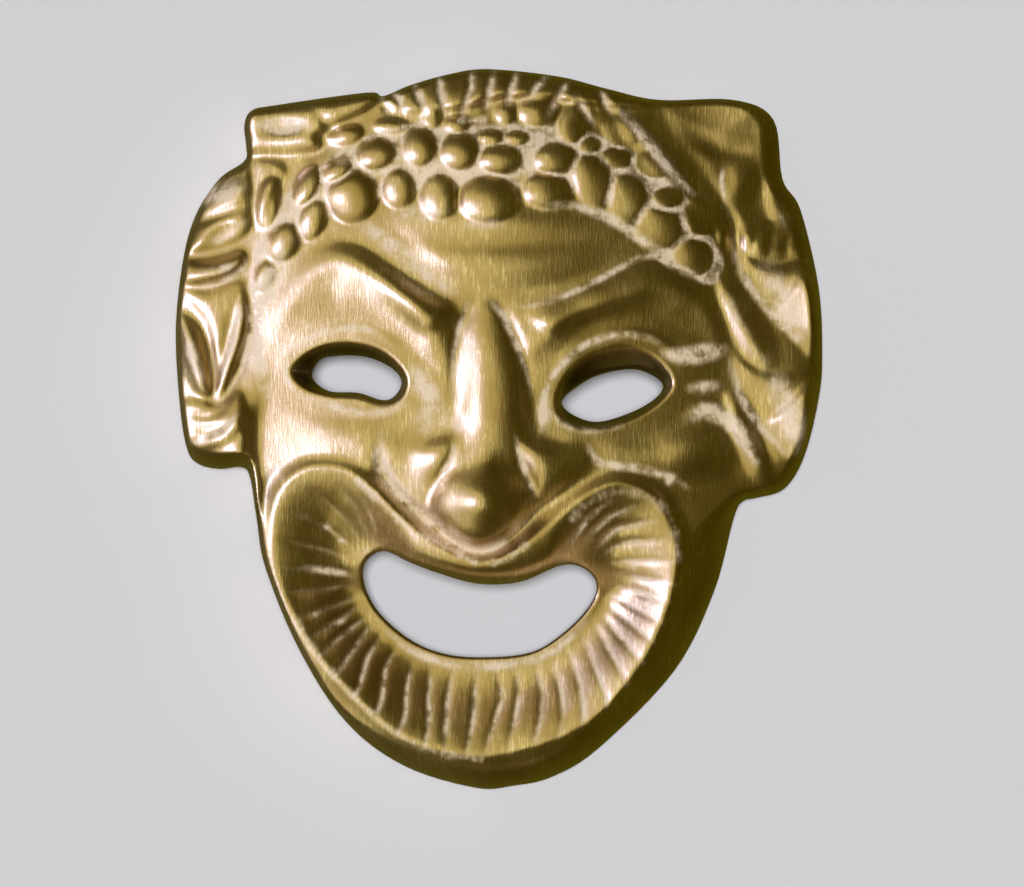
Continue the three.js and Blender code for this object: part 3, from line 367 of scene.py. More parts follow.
def browField():
    field = flat()
    addRoof(field,
        [[-63.5, 22, 0.2, 0.5], [-64.6, 26, 0.9, 0.5], [-63.8, 31.5, 1.8, 0.46], [-60.8, 38.5, 2.4, 0.4],
         [-56, 45.5, 3.2, 0.34], [-50.5, 50, 3.9, 0.3], [-43.5, 51.6, 4.4, 0.28], [-37, 49.8, 4.9, 0.3],
         [-30, 45, 5.4, 0.34], [-23.5, 39.5, 6.2, 0.4], [-16.5, 35.5, 6, 0.48], [-11.8, 34, 5, 0.54],
         [-10, 29, 4.8, 0.58], [-10.2, 22, 3.8, 0.6], [-11, 15, 2.2, 0.6], [-13, 7.5, 0, 0.5]],
        [[-63.5, 22], [-59.5, 21.5], [-54.5, 25], [-48, 28], [-41.5, 29], [-34, 28], [-27.5, 24.6],
         [-23, 19], [-19, 12], [-13, 7.5]], 1, 1.3)
    addRoof(field,
        [[8, 14, 0.2, 0.5], [5.5, 21.5, 0.7, 0.8], [3.6, 28, 0.8, 0.8], [3.4, 33, 1, 0.8],
         [6.4, 34.5, 1.8, 0.7], [14, 36, 3.8, 0.64], [22.5, 39.5, 5.2, 0.6], [30, 43, 5.2, 0.54],
         [39, 46, 5, 0.46], [47, 45.2, 4.6, 0.4], [54, 41.5, 4, 0.38], [59, 37, 3.2, 0.36],
         [62, 30, 2.4, 0.4], [63.5, 22.5, 1.2, 0.5], [64, 16, 0, 0.5]],
        [[8, 14], [11, 19], [16, 23.5], [21.5, 26.5], [28.5, 28], [37, 28.3], [45, 27.5], [53.5, 25],
         [60, 20], [64, 16]], 0.9, 1.1)
    addMound(field, 14.5, 24, 13, 11, 35, 2.6)
    addMound(field, -21.5, 35.5, 15, 8.5, -46, 2.2)
    return blur(field, softness["brows"])


def eyeField():
    field = flat()
    addMound(field, -40.5, 16, 27, 17, 0, -3.8)
    addMound(field, 32.5, 11, 29, 19, -8, -4.5)
    addMound(field, -19, 8.5, 11, 16, -10, -2.6)
    addMound(field, 12.5, 7.5, 9, 16, 10, -2.4)
    # lids
    addRidge(field, [
        [-60, 12, 0, 2], [-59, 18, 1.2, 2.6, 2.2], [-54.5, 22.6, 1.6, 3, 2.4], [-46.5, 25.8, 2, 3.2, 2.6],
        [-38, 26, 2, 3.2, 2.6], [-30, 23, 1.6, 2.8, 2.4], [-25.5, 18, 1, 2.4, 2.2], [-23.5, 12, 0, 2]])
    addRidge(field, [
        [12.5, -1, 0.4, 1.8], [12.6, 5, 1.4, 2.4, 2.2], [14.5, 12.5, 2, 2.8, 2.4], [21, 20.5, 2.4, 3, 2.6],
        [30.5, 24.4, 2.6, 3.2, 2.6], [40, 24.4, 2.6, 3.2, 2.6], [46.5, 22, 1.8, 2.8, 2.4], [50, 17, 1, 2.2],
        [50.5, 11, 0, 2]])
    # folds above and beside the lids
    addRidge(field, [
        [-52, 28, 0, 1.5], [-44, 30, 0.5, 2], [-35, 29.6, 0.6, 2.2], [-27, 26.6, 0.7, 2.2],
        [-20.5, 21.4, 0.6, 2.2], [-16, 15, 0, 2]])
    addRidge(field, [
        [45, 19.6, 0, 2], [51, 19.6, 2, 3.2, 3], [56.5, 19.8, 2.2, 3.6, 3.2], [62, 21, 0, 2.4]])
    addRidge(field, [[50, 10.5, 0, 1.6], [55, 11, 1.4, 2.2, 2], [61, 12.5, 0, 1.6]])
    addRidge(field, [
        [49, 1, 0, 2], [53, 4, 1.8, 2.8, 2.6], [57.5, 5, 2.2, 3, 2.8], [62, 3, 2.2, 3, 2.8],
        [66.5, -1.5, 2, 2.8, 2.6], [70.5, -9.5, 0, 1.8]])
    # under the eyes
    addRidge(field, [
        [-57.5, 9.6, 0, 2], [-49.5, 6.6, 1.2, 2.6, 2.8], [-38.5, 4.6, 1.5, 2.8, 3], [-28, 4, 1.1, 2.6, 2.8],
        [-22, 7, 0, 2]])
    addRidge(field, [
        [13, -1.5, 0.2, 2], [19, -2.2, 1.3, 2.4], [26, -2, 1.6, 2.6], [36.5, 0, 1.4, 2.8],
        [45, 3.5, 1, 2.6], [51, 8, 0, 2]])
    # wrinkles
    field += grooves([
        [(-24.5, 21), (-20.5, 16), (-18.5, 9), (-18.5, 2)], [(-22, 12), (-21.5, 6), (-23.5, 0)],
        [(-14.5, 17), (-12.6, 10), (-11.8, 3), (-12, -1)]], 0.9, 1.6, "soft")
    field += grooves([
        [(44, 30), (50, 26.5), (57, 24.5)], [(52, 15.5), (58, 15.8), (63, 17)],
        [(53, 8), (58, 8.3), (63, 9)]], 1.1, 2, "soft")
    return blur(field, softness["eyes"])


def cheekField():
    field = flat()
    addMound(field, -42, -4.5, 21, 12.5, -12, 3.3)
    addMound(field, -33, -7, 13, 9, -48, 1)
    # the left border is lifted, so that it lies level, with a groove between it and the mouth's crest
    addRidge(field, [
        [-64, 20, 0, 3, 6], [-67.5, 11, 2.6, 6, 10], [-70, 3, 5.4, 6, 14], [-71, -6, 8, 6, 15],
        [-70, -14, 8.2, 6, 14], [-68, -24, 7.6, 6, 12], [-67, -34, 6, 6, 11], [-64, -44, 4.4, 6, 10],
        [-58, -56, 2.6, 5, 9], [-50, -67, 0, 4, 8]])
    addRidge(field, [
        [-64, -40, 0, 2.6], [-65.4, -30, -2, 2.8], [-64.4, -21, -2, 3], [-60, -13.5, -0.8, 3],
        [-54, -10.5, 0, 2.6]])
    addMound(field, 53, -6.5, 20, 11, 10, 4.8)
    addMound(field, 34, -7, 12, 8, -15, 2)
    return blur(field, softness["cheeks"])


# The nose's ball is two balls and a neck, joined smoothly to each other and then to the face
nose = {"ballRise": 13, "pointRise": 12, "pointJoin": 3, "neckJoin": 4, "faceJoin": 2.6}


def noseField():
    # the raised foot of the nose, its bridge, whose crest is nearer the viewer's right, and its wings
    root = flat()
    addRidge(root, [
        [-3, 30, 0.5, 6], [-2, 20.5, 1.8, 12], [-1.4, 8, 3, 17, 16], [-2, 0, 4.6, 19, 18],
        [-3, -8, 6.4, 25, 23], [-4, -16, 6.4, 25, 22], [-4.2, -23, 5, 20, 18], [-4.4, -29, 2, 14, 13]])
    addRidge(root, [
        [-4.2, 36, 0.2, 1.6], [-3.6, 32.5, 1.4, 4, 3.8], [-2.8, 26, 2.6, 7.4, 6], [-1.6, 17, 3.4, 9.8, 8.2],
        [-1, 9, 3.8, 10.8, 9.2], [-1, 3.5, 3.3, 10.8, 9.2], [-1.4, -1.5, 1.9, 10.4, 9],
        [-2, -7, 0.4, 9.6, 8.6], [-2.4, -10, 0, 9, 8]], "bridge")
    wings = flat()
    addPillow(wings, [
        [-31, -3.4], [-27.5, -2.4], [-19, -2.4], [-12.4, -3], [-14, -10], [-17.5, -18], [-20.5, -20.4],
        [-25, -17], [-29.6, -10]], 1.5, 5)
    addMound(wings, -17, -8, 11, 9, 20, 2)
    addPillow(wings, [
        [5.6, -3.4], [12.5, -3], [20, -3.2], [24.6, -5], [26, -10], [22.5, -14.5], [17, -18.5],
        [11.5, -19.5], [8.8, -12.5]], 2.8, 3.8)
    addMound(wings, 16, -10, 9.5, 8, -20, 1.8)
    tip, point, neck = flat(), flat(), flat()
    addMound(tip, -4.6, -20.4, 14, 12.4, 0, nose["ballRise"], "ball")
    addMound(tip, -4.2, -20.8, 9, 8.6, 0, 2.8)
    addMound(point, -5, -25.8, 10, 8.4, 0, nose["pointRise"], "ball")
    addRidge(neck, [
        [-2.4, 2, 0.6, 10], [-3, -4, 4.4, 11], [-3.4, -9, 7.6, 12], [-4, -15, 9, 12], [-4.2, -20, 4, 11]])
    ball = smoothMax(smoothMax(tip, point, nose["pointJoin"]), neck, nose["neckJoin"])
    return blur(root, softness["bridge"]) + blur(wings, softness["wings"]), blur(ball, softness["noseBall"])


def noseCreaseField():
    field = flat()
    addRidge(field, [
        [-11.4, -3.6, 0, 1.2], [-12.8, -8, -1.2, 1.6], [-16.4, -15, -1, 1.7], [-17.8, -19, 0, 1.3]],
        "crease")
    addRidge(field, [
        [5, -3, 0, 1.2], [6, -8.5, -1.2, 1.6], [9.4, -15.5, -1.3, 1.7], [10.6, -19.5, 0, 1.3]], "crease")
    addRidge(field, [
        [-4.6, 35.5, 0, 1.2], [-7.6, 31.8, -0.9, 1.8], [-10.4, 26, -1.1, 2], [-12, 15.5, -0.9, 2],
        [-12, 7, 0, 1.6]])
    addRidge(field, [
        [-1, 35.5, 0, 1.2], [2.2, 30.5, -1.3, 2], [4.6, 25, -1.6, 2.2], [7.6, 17, -1.2, 2], [9, 9, 0, 1.6]])
    # round the foot of the nose
    addRidge(field, [
        [-32.5, -3.5, 0, 2], [-32, -11.5, -1.4, 2.6], [-28, -18.5, -1.8, 2.8], [-21, -25, -2, 3],
        [-13.4, -31, -2.2, 3.2], [-5.4, -34.6, -2.4, 3.2], [1.6, -32, -2.2, 3], [6.4, -26.6, -1.6, 2.6],
        [13, -21.8, -0.8, 2.2], [18.5, -19.6, 0, 2]])
    return blur(field, softness["noseCreases"])


# Mouth: a fluted funnel from the crest of the lips down to the hole
mouth = {
    "grooveDepth": 0.9,
    "grooveWidth": 1.4,
    "lipRise": 3.6,
    "lipMiddleRise": 3,
    "lipCornerRise": 1.6,
    "lipRound": 4,
    "depth": 17.5,
    "shallowerTop": 4.5,
    "lipEdge": 3,
}
fluteGrooves = [
    # under the mouth, from left to right
    [(-38, -49), (-45, -54), (-52, -58)], [(-37, -53), (-43, -57.5), (-50, -64)],
    [(-35, -54.5), (-39.5, -61), (-45, -69)], [(-32, -57), (-36, -64), (-38, -71), (-40.5, -76)],
    [(-28, -60.5), (-31, -67), (-32, -75), (-34.5, -82)],
    [(-23.5, -65), (-25, -72), (-25.5, -79), (-28, -86)],
    [(-18.5, -66), (-19, -74), (-19, -82), (-20.5, -89)],
    [(-12.4, -67), (-13.6, -74), (-14.2, -81), (-14.5, -90)],
    [(-6, -67), (-6.3, -74), (-7, -82), (-9, -91)], [(-0.5, -67), (1, -74), (-0.8, -81), (-4, -91)],
    [(5, -66.5), (5.8, -73.5), (4.8, -80), (2.4, -90)], [(10.5, -66), (12.2, -74), (11.6, -81), (9.2, -89)],
    [(15, -65), (17.6, -73), (17.8, -80), (16, -87)], [(19.5, -62), (22.6, -71), (23.6, -78), (22.6, -83)],
    [(23.5, -58.5), (27.6, -68), (29.6, -74), (30, -79)], [(27, -55), (32, -63.5), (35.5, -71)],
    [(29, -52), (35, -59), (40, -65.5)], [(30, -49), (37, -54), (43, -59.5)],
    # at the right
    [(31, -46), (38, -49.5), (45.5, -54)], [(31.5, -43.5), (39, -45.5), (47, -48)],
    [(32, -40.5), (39, -41.5), (48.5, -43)], [(31, -37.5), (38, -36.6), (48, -37)],
    [(29.5, -34.5), (36, -31.6), (46.5, -31)], [(27.5, -33), (33, -28), (43.5, -25.5)],
    [(24, -32.5), (29, -26), (37.5, -21.5)], [(20.5, -32), (24.5, -25.5), (31, -20)],
    # at the left
    [(-39, -47), (-46, -49.5), (-55, -52)], [(-40, -43.5), (-48, -44.6), (-58.5, -45.5)],
    [(-40.5, -40.4), (-48, -39.4), (-59.5, -38.6)], [(-40.5, -37), (-47, -34), (-59.5, -31)],
    [(-39.5, -34), (-46, -28.4), (-57, -23)], [(-38, -31.5), (-43, -24), (-51, -17)],
    [(-36, -30), (-39, -22.5), (-43.5, -15.5)], [(-33.5, -29.5), (-35, -24), (-38, -18)],
]


def fluteCuts():
    return grooves(fluteGrooves, mouth["grooveDepth"], mouth["grooveWidth"])


def withMouth(skin, dome):
    x, y = fullX, fullY
    toCrest = insideBy(mouthCrest, x, y)
    toHole = -insideBy(mouthHole, x, y)
    out = np.clip(toHole / np.maximum(toHole + toCrest, 0.001), 0, 1)
    midLip = np.exp(-((x + 4) / 22) ** 2 - ((y + 37.5) / 12) ** 2)
    crest = dome + mouth["lipRise"] + mouth["lipMiddleRise"] * midLip
    crest = crest + mouth["lipCornerRise"] * smoothStep(-47, -14, y)
    # outside the crest the lip rounds down to the face
    u = np.minimum(1, np.maximum(-toCrest, 0) / mouth["lipRound"])
    outer = skin + np.maximum(crest - skin, 0) * (1 - u) ** 1.4
    # inside it the funnel is a bowl, steeper near the crest, cut by a groove between each two flutes
    floor = crest - mouth["depth"] + mouth["shallowerTop"] * smoothStep(-47, -36, y)
    share = np.clip((out - 0.1) / 0.88, 0, 1)
    funnel = floor + (crest - floor) * (0.45 * share ** 1.7 + 0.55 * smoothStep(0, 1, share))
    funnel = funnel + fluteCuts() * smoothStep(0.06, 0.16, out)
    edge = floor + mouth["lipEdge"]
    lip = edge + (crest - edge) * np.sqrt(1 - (1 - out) ** 2.2)
    lipShare = np.clip(1.35 * np.exp(-((x + 4) / 25) ** 4), 0, 1) * smoothStep(-47, -40.5, y)
    inner = funnel + (lip - funnel) * lipShare
    return blur(np.where(toCrest > 0, inner, outer), softness["mouth"])


# Wreath. At the viewer's right the berries are wider, lower and set in a broader net.
wreath = {
    "rise": 0.62,
    "flat": 2.1,
    "roundness": 0.85,
    "swell": 1.18,
    "swellRight": 0.18,
    "lowerRight": 0.5,
    "furrow": 0.3,
    "netRight": 0.16,
    "netOutsideRight": 0.06,
    "gapBloom": 0.75,
}
# (x, y, half length, half width, turn)
berries = [
    # the row over the forehead
    (-64.4, 41.6, 3.8, 2.4, 75), (-59, 51, 5, 4, 60), (-51, 57, 5.2, 3.4, 65), (-40, 63.6, 6.2, 6.4, 0),
    (-27.2, 65.6, 4.2, 4.8, 0), (-16, 63.4, 4.8, 5.6, 0), (-2.6, 62.8, 7.6, 5.8, 0),
    (13.4, 65.2, 6, 4.4, 0), (26, 68, 6.4, 4.6, 112), (35.8, 62.6, 4.8, 6, 10), (44.8, 55.4, 6.2, 5.2, -15),
    (54, 47, 4.8, 4.4, -40),
    # above it
    (-63.4, 62, 6.4, 3, 80), (-52.8, 66.6, 5.2, 3, 65), (-44.4, 70.8, 4, 3, 30), (-33.6, 75.4, 5, 4, 15),
    (-21.4, 77.4, 4.2, 5, 0), (-10.4, 76, 4.8, 4.8, 0), (0.8, 73.6, 5.4, 3.8, 0),
    (15.8, 73.8, 5.2, 4.2, 10), (33, 74.2, 3.8, 2.4, -10), (42, 72, 4.4, 2.4, -25),
    (46.8, 62.8, 3.8, 3, 10), (55.6, 57.6, 4.2, 4.4, 0),
    # at the hair
    (-42, 80.6, 4.4, 2.6, 10), (-29.5, 83, 4.4, 2, 0), (-18.4, 85, 2.6, 2.6, 0), (-11.4, 83.4, 3.4, 2.4, 0),
    (-2, 79.8, 3.4, 2, 0), (5.2, 79.6, 3.2, 2, 0), (2.2, 86.6, 2.8, 3, 0), (11, 87.2, 5.2, 3.8, 0),
    (21, 84, 5.6, 3.8, 70), (25.4, 77.6, 2.6, 2.2, 0), (33.6, 81.4, 4.2, 3.2, -25),
]
# the band that the berries stand on: [x, y, height, width left of it, width right of it]
wreathBand = [
    [-65.5, 38.5, 0, 4, 4], [-60.5, 52.5, 0.8, 6, 6], [-49.5, 65, 1.2, 7, 8], [-30, 73, 1.4, 10, 10],
    [-8, 74.5, 1.6, 11, 10], [17, 74.5, 1.6, 11, 10], [36.5, 67.5, 1.4, 10, 9], [50, 55, 1.2, 8, 8],
    [58, 45, 0, 5, 5]]


def stonesField():
    # How high the berries stand, and how far into the net between them a place lies: each place goes
    # with the oval whose edge it is nearest to or most within, and the net lies where a second one is
    # as near, or where none is.
    farOff = 9
    first, second, size = flat() + farOff, flat() + farOff, flat()
    for x0, y0, long, wide, turn in berries:
        part = windowRound(np.array([[x0, y0]]), 2 * max(long, wide))
        u = ovalPlace(x0, y0, long, wide, turn, fullX[part], fullY[part])
        size[part] = np.where(u < first[part], math.sqrt(long * wide), size[part])
        second[part] = np.minimum(second[part], np.maximum(first[part], u))
        first[part] = np.minimum(first[part], u)
    inCell = smoothStep(0, wreath["furrow"], second - first)
    right = smoothStep(8, 32, fullX)
    u = np.minimum(first / (wreath["swell"] + wreath["swellRight"] * right), 1)
    rise = wreath["rise"] * size * (1 - u ** wreath["flat"]) ** wreath["roundness"]
    rise *= 1 - wreath["lowerRight"] * right
    between = 1 - smoothStep(0.06, 0.3, second - first - wreath["netRight"] * right)
    outside = smoothStep(1.04, 1.2, first - wreath["netOutsideRight"] * right)
    return blur(rise * inCell, softness["berries"]), np.maximum(between, outside)


def wreathField():
    field = flat()
    addRidge(field, wreathBand)
    # the ribbon's edge that closes the wreath at the right
    addRidge(field, [
        [32, 88.6, 0, 1.6, 2], [37, 83.5, 1.6, 2, 5], [43, 76.6, 1.8, 2, 6], [48, 70.5, 1.6, 2, 6],
        [54, 64.5, 1.2, 2, 5], [59, 59.6, 0, 2, 3]])
    return field + stonesField()[0]


hair = {"depth": 1.6, "width": 1.8}
hairGrooves = [
    [(-33, 91.5), (-31, 89), (-30.5, 86.5)], [(-29.5, 93), (-27, 90), (-26.5, 86.5)],
    [(-23.5, 95.5), (-21.6, 91), (-20, 86)], [(-16.4, 98), (-15.6, 92), (-14.4, 86)],
    [(-7, 99), (-7.6, 93), (-10, 86)], [(-0.8, 99.5), (-2, 94), (-3.4, 87)],
    [(5.4, 99), (4, 94), (2.6, 89)], [(13.6, 97.5), (11, 94), (8, 90)], [(19, 95), (17.4, 92), (13.4, 86)],
    [(21.5, 91), (23.8, 87.5), (26.4, 83)], [(28.5, 94), (29.5, 90), (31, 87)],
]


def hairCuts():
    return grooves(hairGrooves, hair["depth"], hair["width"])


def hairField():
    band = flat()
    addRoof(band,
        [[-33.5, 90, 1, 0.6], [-24.5, 95, 2.2, 0.75], [-13.5, 98.5, 3, 0.78], [-2.5, 99.8, 3.2, 0.78],
         [11.5, 98.5, 3, 0.78], [25, 95.5, 2.6, 0.75], [39, 91.5, 1.8, 0.6], [45.5, 88, 0, 0.5]],
        [[-33.5, 90], [-27, 85.5], [-18, 85.5], [-9, 86.5], [0, 89.5], [9, 90], [17, 89.5], [25, 88],
         [35, 87], [45.5, 88]], 1.6, 1.4)
    band += hairCuts()
    return blur(band, softness["hair"])


def leftLeafField():
    field = flat()
    # knot of the ribbon
    addPillow(field, [
        [-70, 88], [-60, 89.5], [-48, 91.5], [-37, 92.5], [-32.5, 91], [-36, 87], [-42, 84], [-48.5, 80.5],
        [-49.5, 76.5], [-60, 75.2], [-68.8, 75.4], [-70.5, 80]], 3.6, 4.6)
    addMound(field, -59.5, 83, 9.5, 3.6, 0, -1.5)
    field += grooves([
        [(-50.5, 87.5), (-47, 83.5), (-43.5, 79)], [(-55, 74.5), (-50, 75.5), (-45, 79)]], 1, 2, "soft")
    addPillow(field, [
        [-67.5, 74.5], [-60.5, 74], [-58, 70], [-62.5, 63.5], [-65.5, 54.5], [-67, 58], [-67.6, 66]],
        1.6, 3)
    # upper leaf, with a fold and a hollow
    addPillow(field, [
        [-69, 73], [-76.5, 69], [-82.5, 61], [-85.5, 50], [-84, 48], [-76.5, 49.5], [-70.5, 52],
        [-67.5, 55.5], [-66.8, 63.5], [-67.5, 70]], 4.4, 6.5)
    field += grooves([
        [(-84, 56), (-77, 58.6), (-68, 62)], [(-80, 66), (-75, 67.6), (-69, 70)]], 1.3, 2.4, "soft")
    addMound(field, -76, 53.6, 7, 3.4, 22, -1.5)
    # second leaf
    addPillow(field, [
        [-86.5, 45.8], [-79, 46.6], [-71, 49], [-69, 46.5], [-70.5, 43.4], [-76.5, 40], [-84, 38.8],
        [-87.5, 40]], 2.6, 3.6)
    addRidge(field, [[-86, 41, 0, 2], [-80, 42, 1, 3], [-74, 43.6, 1.2, 3], [-69.5, 47, 0, 1.8]])
    addPillow(field, [
        [-87.5, 38.5], [-80, 38.4], [-71.5, 41], [-69, 38.5], [-70, 34], [-74, 24.5], [-77, 13], [-79, 21],
        [-81.5, 29], [-85.5, 34.5]], 1.8, 4.5)
    # two pointed leaves
    addPillow(field, [
        [-88.8, 32], [-86, 31], [-82, 26.5], [-79.6, 19], [-78.8, 10], [-80.5, 8], [-84, 9.5],
        [-87.5, 16.5], [-89, 26]], 2.8, 4.6)
    addRidge(field, [[-86, 28, 0, 2], [-84, 21, 1.6, 3], [-81.6, 13, 1.4, 2.8, 2.6], [-79.6, 8, 0, 1.5]])
    field += grooves([[(-86.5, 34), (-81.4, 29), (-78.6, 19.5), (-77.6, 8)]], 0.8, 2.2, "soft")
    addPillow(field, [
        [-70, 37], [-68.4, 30], [-69.5, 23], [-72.5, 15.5], [-76.8, 7.5], [-77.6, 10], [-76, 18.5],
        [-73.6, 28], [-72, 34]], 3.2, 3.4)
    field += grooves([[(-68.5, 38), (-67.4, 30), (-68.6, 22), (-72.5, 13), (-77, 6.5)]], 0.7, 1.8, "soft")
    # lowest lobe, with a turned-up lip
    addPillow(field, [
        [-87.5, 7], [-81.5, 8.4], [-77, 6], [-71.5, 10.5], [-69, 6], [-69.5, -3], [-73, -1], [-80, -3.4],
        [-85.5, -6], [-87.5, -0.5]], 2, 4)
    addRidge(field, [
        [-86, -6.5, 0, 1.6], [-79.5, -4, 2, 2.2, 3], [-73.5, -0.8, 1.9, 2.2, 3], [-70.5, 4.5, 0, 1.6]])
    field += grooves([[(-86, 4), (-80, 3), (-74.5, 4.5)], [(-85, 0), (-79, -0.5), (-75, 1)]], 1, 2, "soft")
    # here too the border is lifted
    lifted = smoothStep(-68, -88, fullX) * smoothStep(-14, -2, fullY) * smoothStep(66, 44, fullY)
    field += body["leftBorderLift"] * lifted
    return blur(field, softness["leftLeaves"])


def rightLeafField():
    field = flat()
    # upper leaf and its curled lobe
    addPillow(field, [
        [46, 89.5], [55.5, 90.5], [67.5, 89.5], [71.2, 88], [71.8, 80], [72.6, 70], [70.5, 63.5],
        [66, 60.5], [62, 62], [60.5, 66.5], [56.5, 71.5], [51.5, 77], [47, 83.5]], 1.5, 15)
    addRidge(field, [[50, 83, 0, 3], [57, 79, -0.8, 4], [64.5, 76.5, -1, 4], [71, 77, 0, 3]])
    addMound(field, 67.6, 68, 6, 8, 0, 1.4)
    # the valley between the wreath and the leaves, with the ribbon's rounded end in it
    addRidge(field, [
        [41, 90, 0, 4], [46, 81.5, -0.6, 6], [53, 72, -0.8, 6.5, 6], [58.6, 64.5, -1.2, 4, 4.6],
        [64.6, 56, -2, 3.4, 4], [65.6, 47, -2, 3.4], [64, 40, 0, 2.4]])
    addRidge(field, [
        [55, 68, 0, 2], [59, 62.6, 1, 2.8], [61.4, 57.4, 1.2, 3, 2.8], [62, 52.6, 1.2, 2.4, 2.2],
        [61.6, 49.6, 0, 1.6]])
    addPillow(field, [[74, 69.5], [77, 66.5], [80.4, 56.5], [76.5, 55.5], [74, 61]], 1, 3)
    addPillow(field, [
        [66, 53], [70, 56.5], [76, 57.4], [83, 57], [85.6, 51], [85, 46.5], [78, 45], [71, 46], [68, 48.6]],
        2.6, 5)
    field += grooves([
        [(71.5, 54.5), (70, 50), (69, 47.5)], [(76, 55), (75, 50), (74.5, 47)],
        [(81, 54), (79.5, 50), (79.5, 47)]], 0.9, 1.4, "soft")
    # two long pointed leaves, each leaning up from the fold at its left to a crest near the border
    addRoof(field,
        [[65.4, 51.6, 0, 0.4], [69.4, 46.8, 0.8, 0.4], [76, 44.8, 1.8, 0.36], [84.6, 45.6, 3.4, 0.3],
         [89, 37, 5.6, 0.22], [89.4, 26, 5.8, 0.2], [87.4, 17.6, 0, 0.3]],
        [[65.4, 51.6], [68.6, 43.6], [72.6, 36.6], [79.4, 27.4], [87.4, 17.6]], 0.7, 1)
    addRoof(field,
        [[63.6, 23, 0, 0.4], [68.6, 17.4, 0.8, 0.4], [77, 14.6, 1.6, 0.36], [87, 14.8, 3, 0.3],
         [88.6, 6, 5.6, 0.22], [86, -3.4, 5.8, 0.2], [82, -11.4, 0, 0.3]],
        [[63.6, 23], [66.6, 12.6], [70.6, 5], [76, -3.2], [82, -11.4]], 0.7, 1)
    # the ridges left of the folds
    addRidge(field, [
        [61, 42.5, 0, 4, 2], [63, 36.5, 2, 6, 3], [66.4, 29, 2.4, 7.5, 3.4], [70.4, 22, 2.2, 7.5, 3.4],
        [76, 15.6, 0, 5, 3]])
    addRidge(field, [
        [63, 11, 0, 3, 2], [65, 4.5, 1.8, 5.5, 2.6], [68, -3, 2.2, 6, 2.8], [71.6, -11.6, 1.6, 6, 2.8],
        [75, -17, 0, 4, 2]])
    field += grooves([[(70.5, 1), (73, -5), (75.5, -12)]], 1, 2.2, "soft")
    # this border is lifted too
    lifted = smoothStep(61, 88, fullX) * smoothStep(-22, -8, fullY) * smoothStep(56, 38, fullY)
    field += body["rightBorderLift"] * lifted
    return blur(field, softness["rightLeaves"])


def reliefField():
    dome = domeField()
    root, ball = noseField()
    skin = dome + foreheadField() + browField() + eyeField() + cheekField() + root
    skin = smoothMax(skin, dome + ball, nose["faceJoin"]) + noseCreaseField()
    print("face shaped")
    field = withMouth(skin, dome)
    print("mouth shaped")
    field = field + wreathField() + hairField() + leftLeafField() + rightLeafField()
    print("wreath, hair and leaves shaped")
    # the sheet sinks from each lid to the eye's hole
    for hole, lid in ((leftEyeHole, leftLid), (rightEyeHole, rightLid)):
        part = windowRound(lid, 1)
        inLid = insideBy(lid, fullX[part], fullY[part])
        inHole = insideBy(hole, fullX[part], fullY[part])
        sunk = np.clip(inLid / np.maximum(inLid - inHole, 0.001), 0, 1) ** 0.8
        field[part] -= np.where(inLid > 0, body["lidDepth"] * sunk, 0)
    return blur(field, softness["all"])


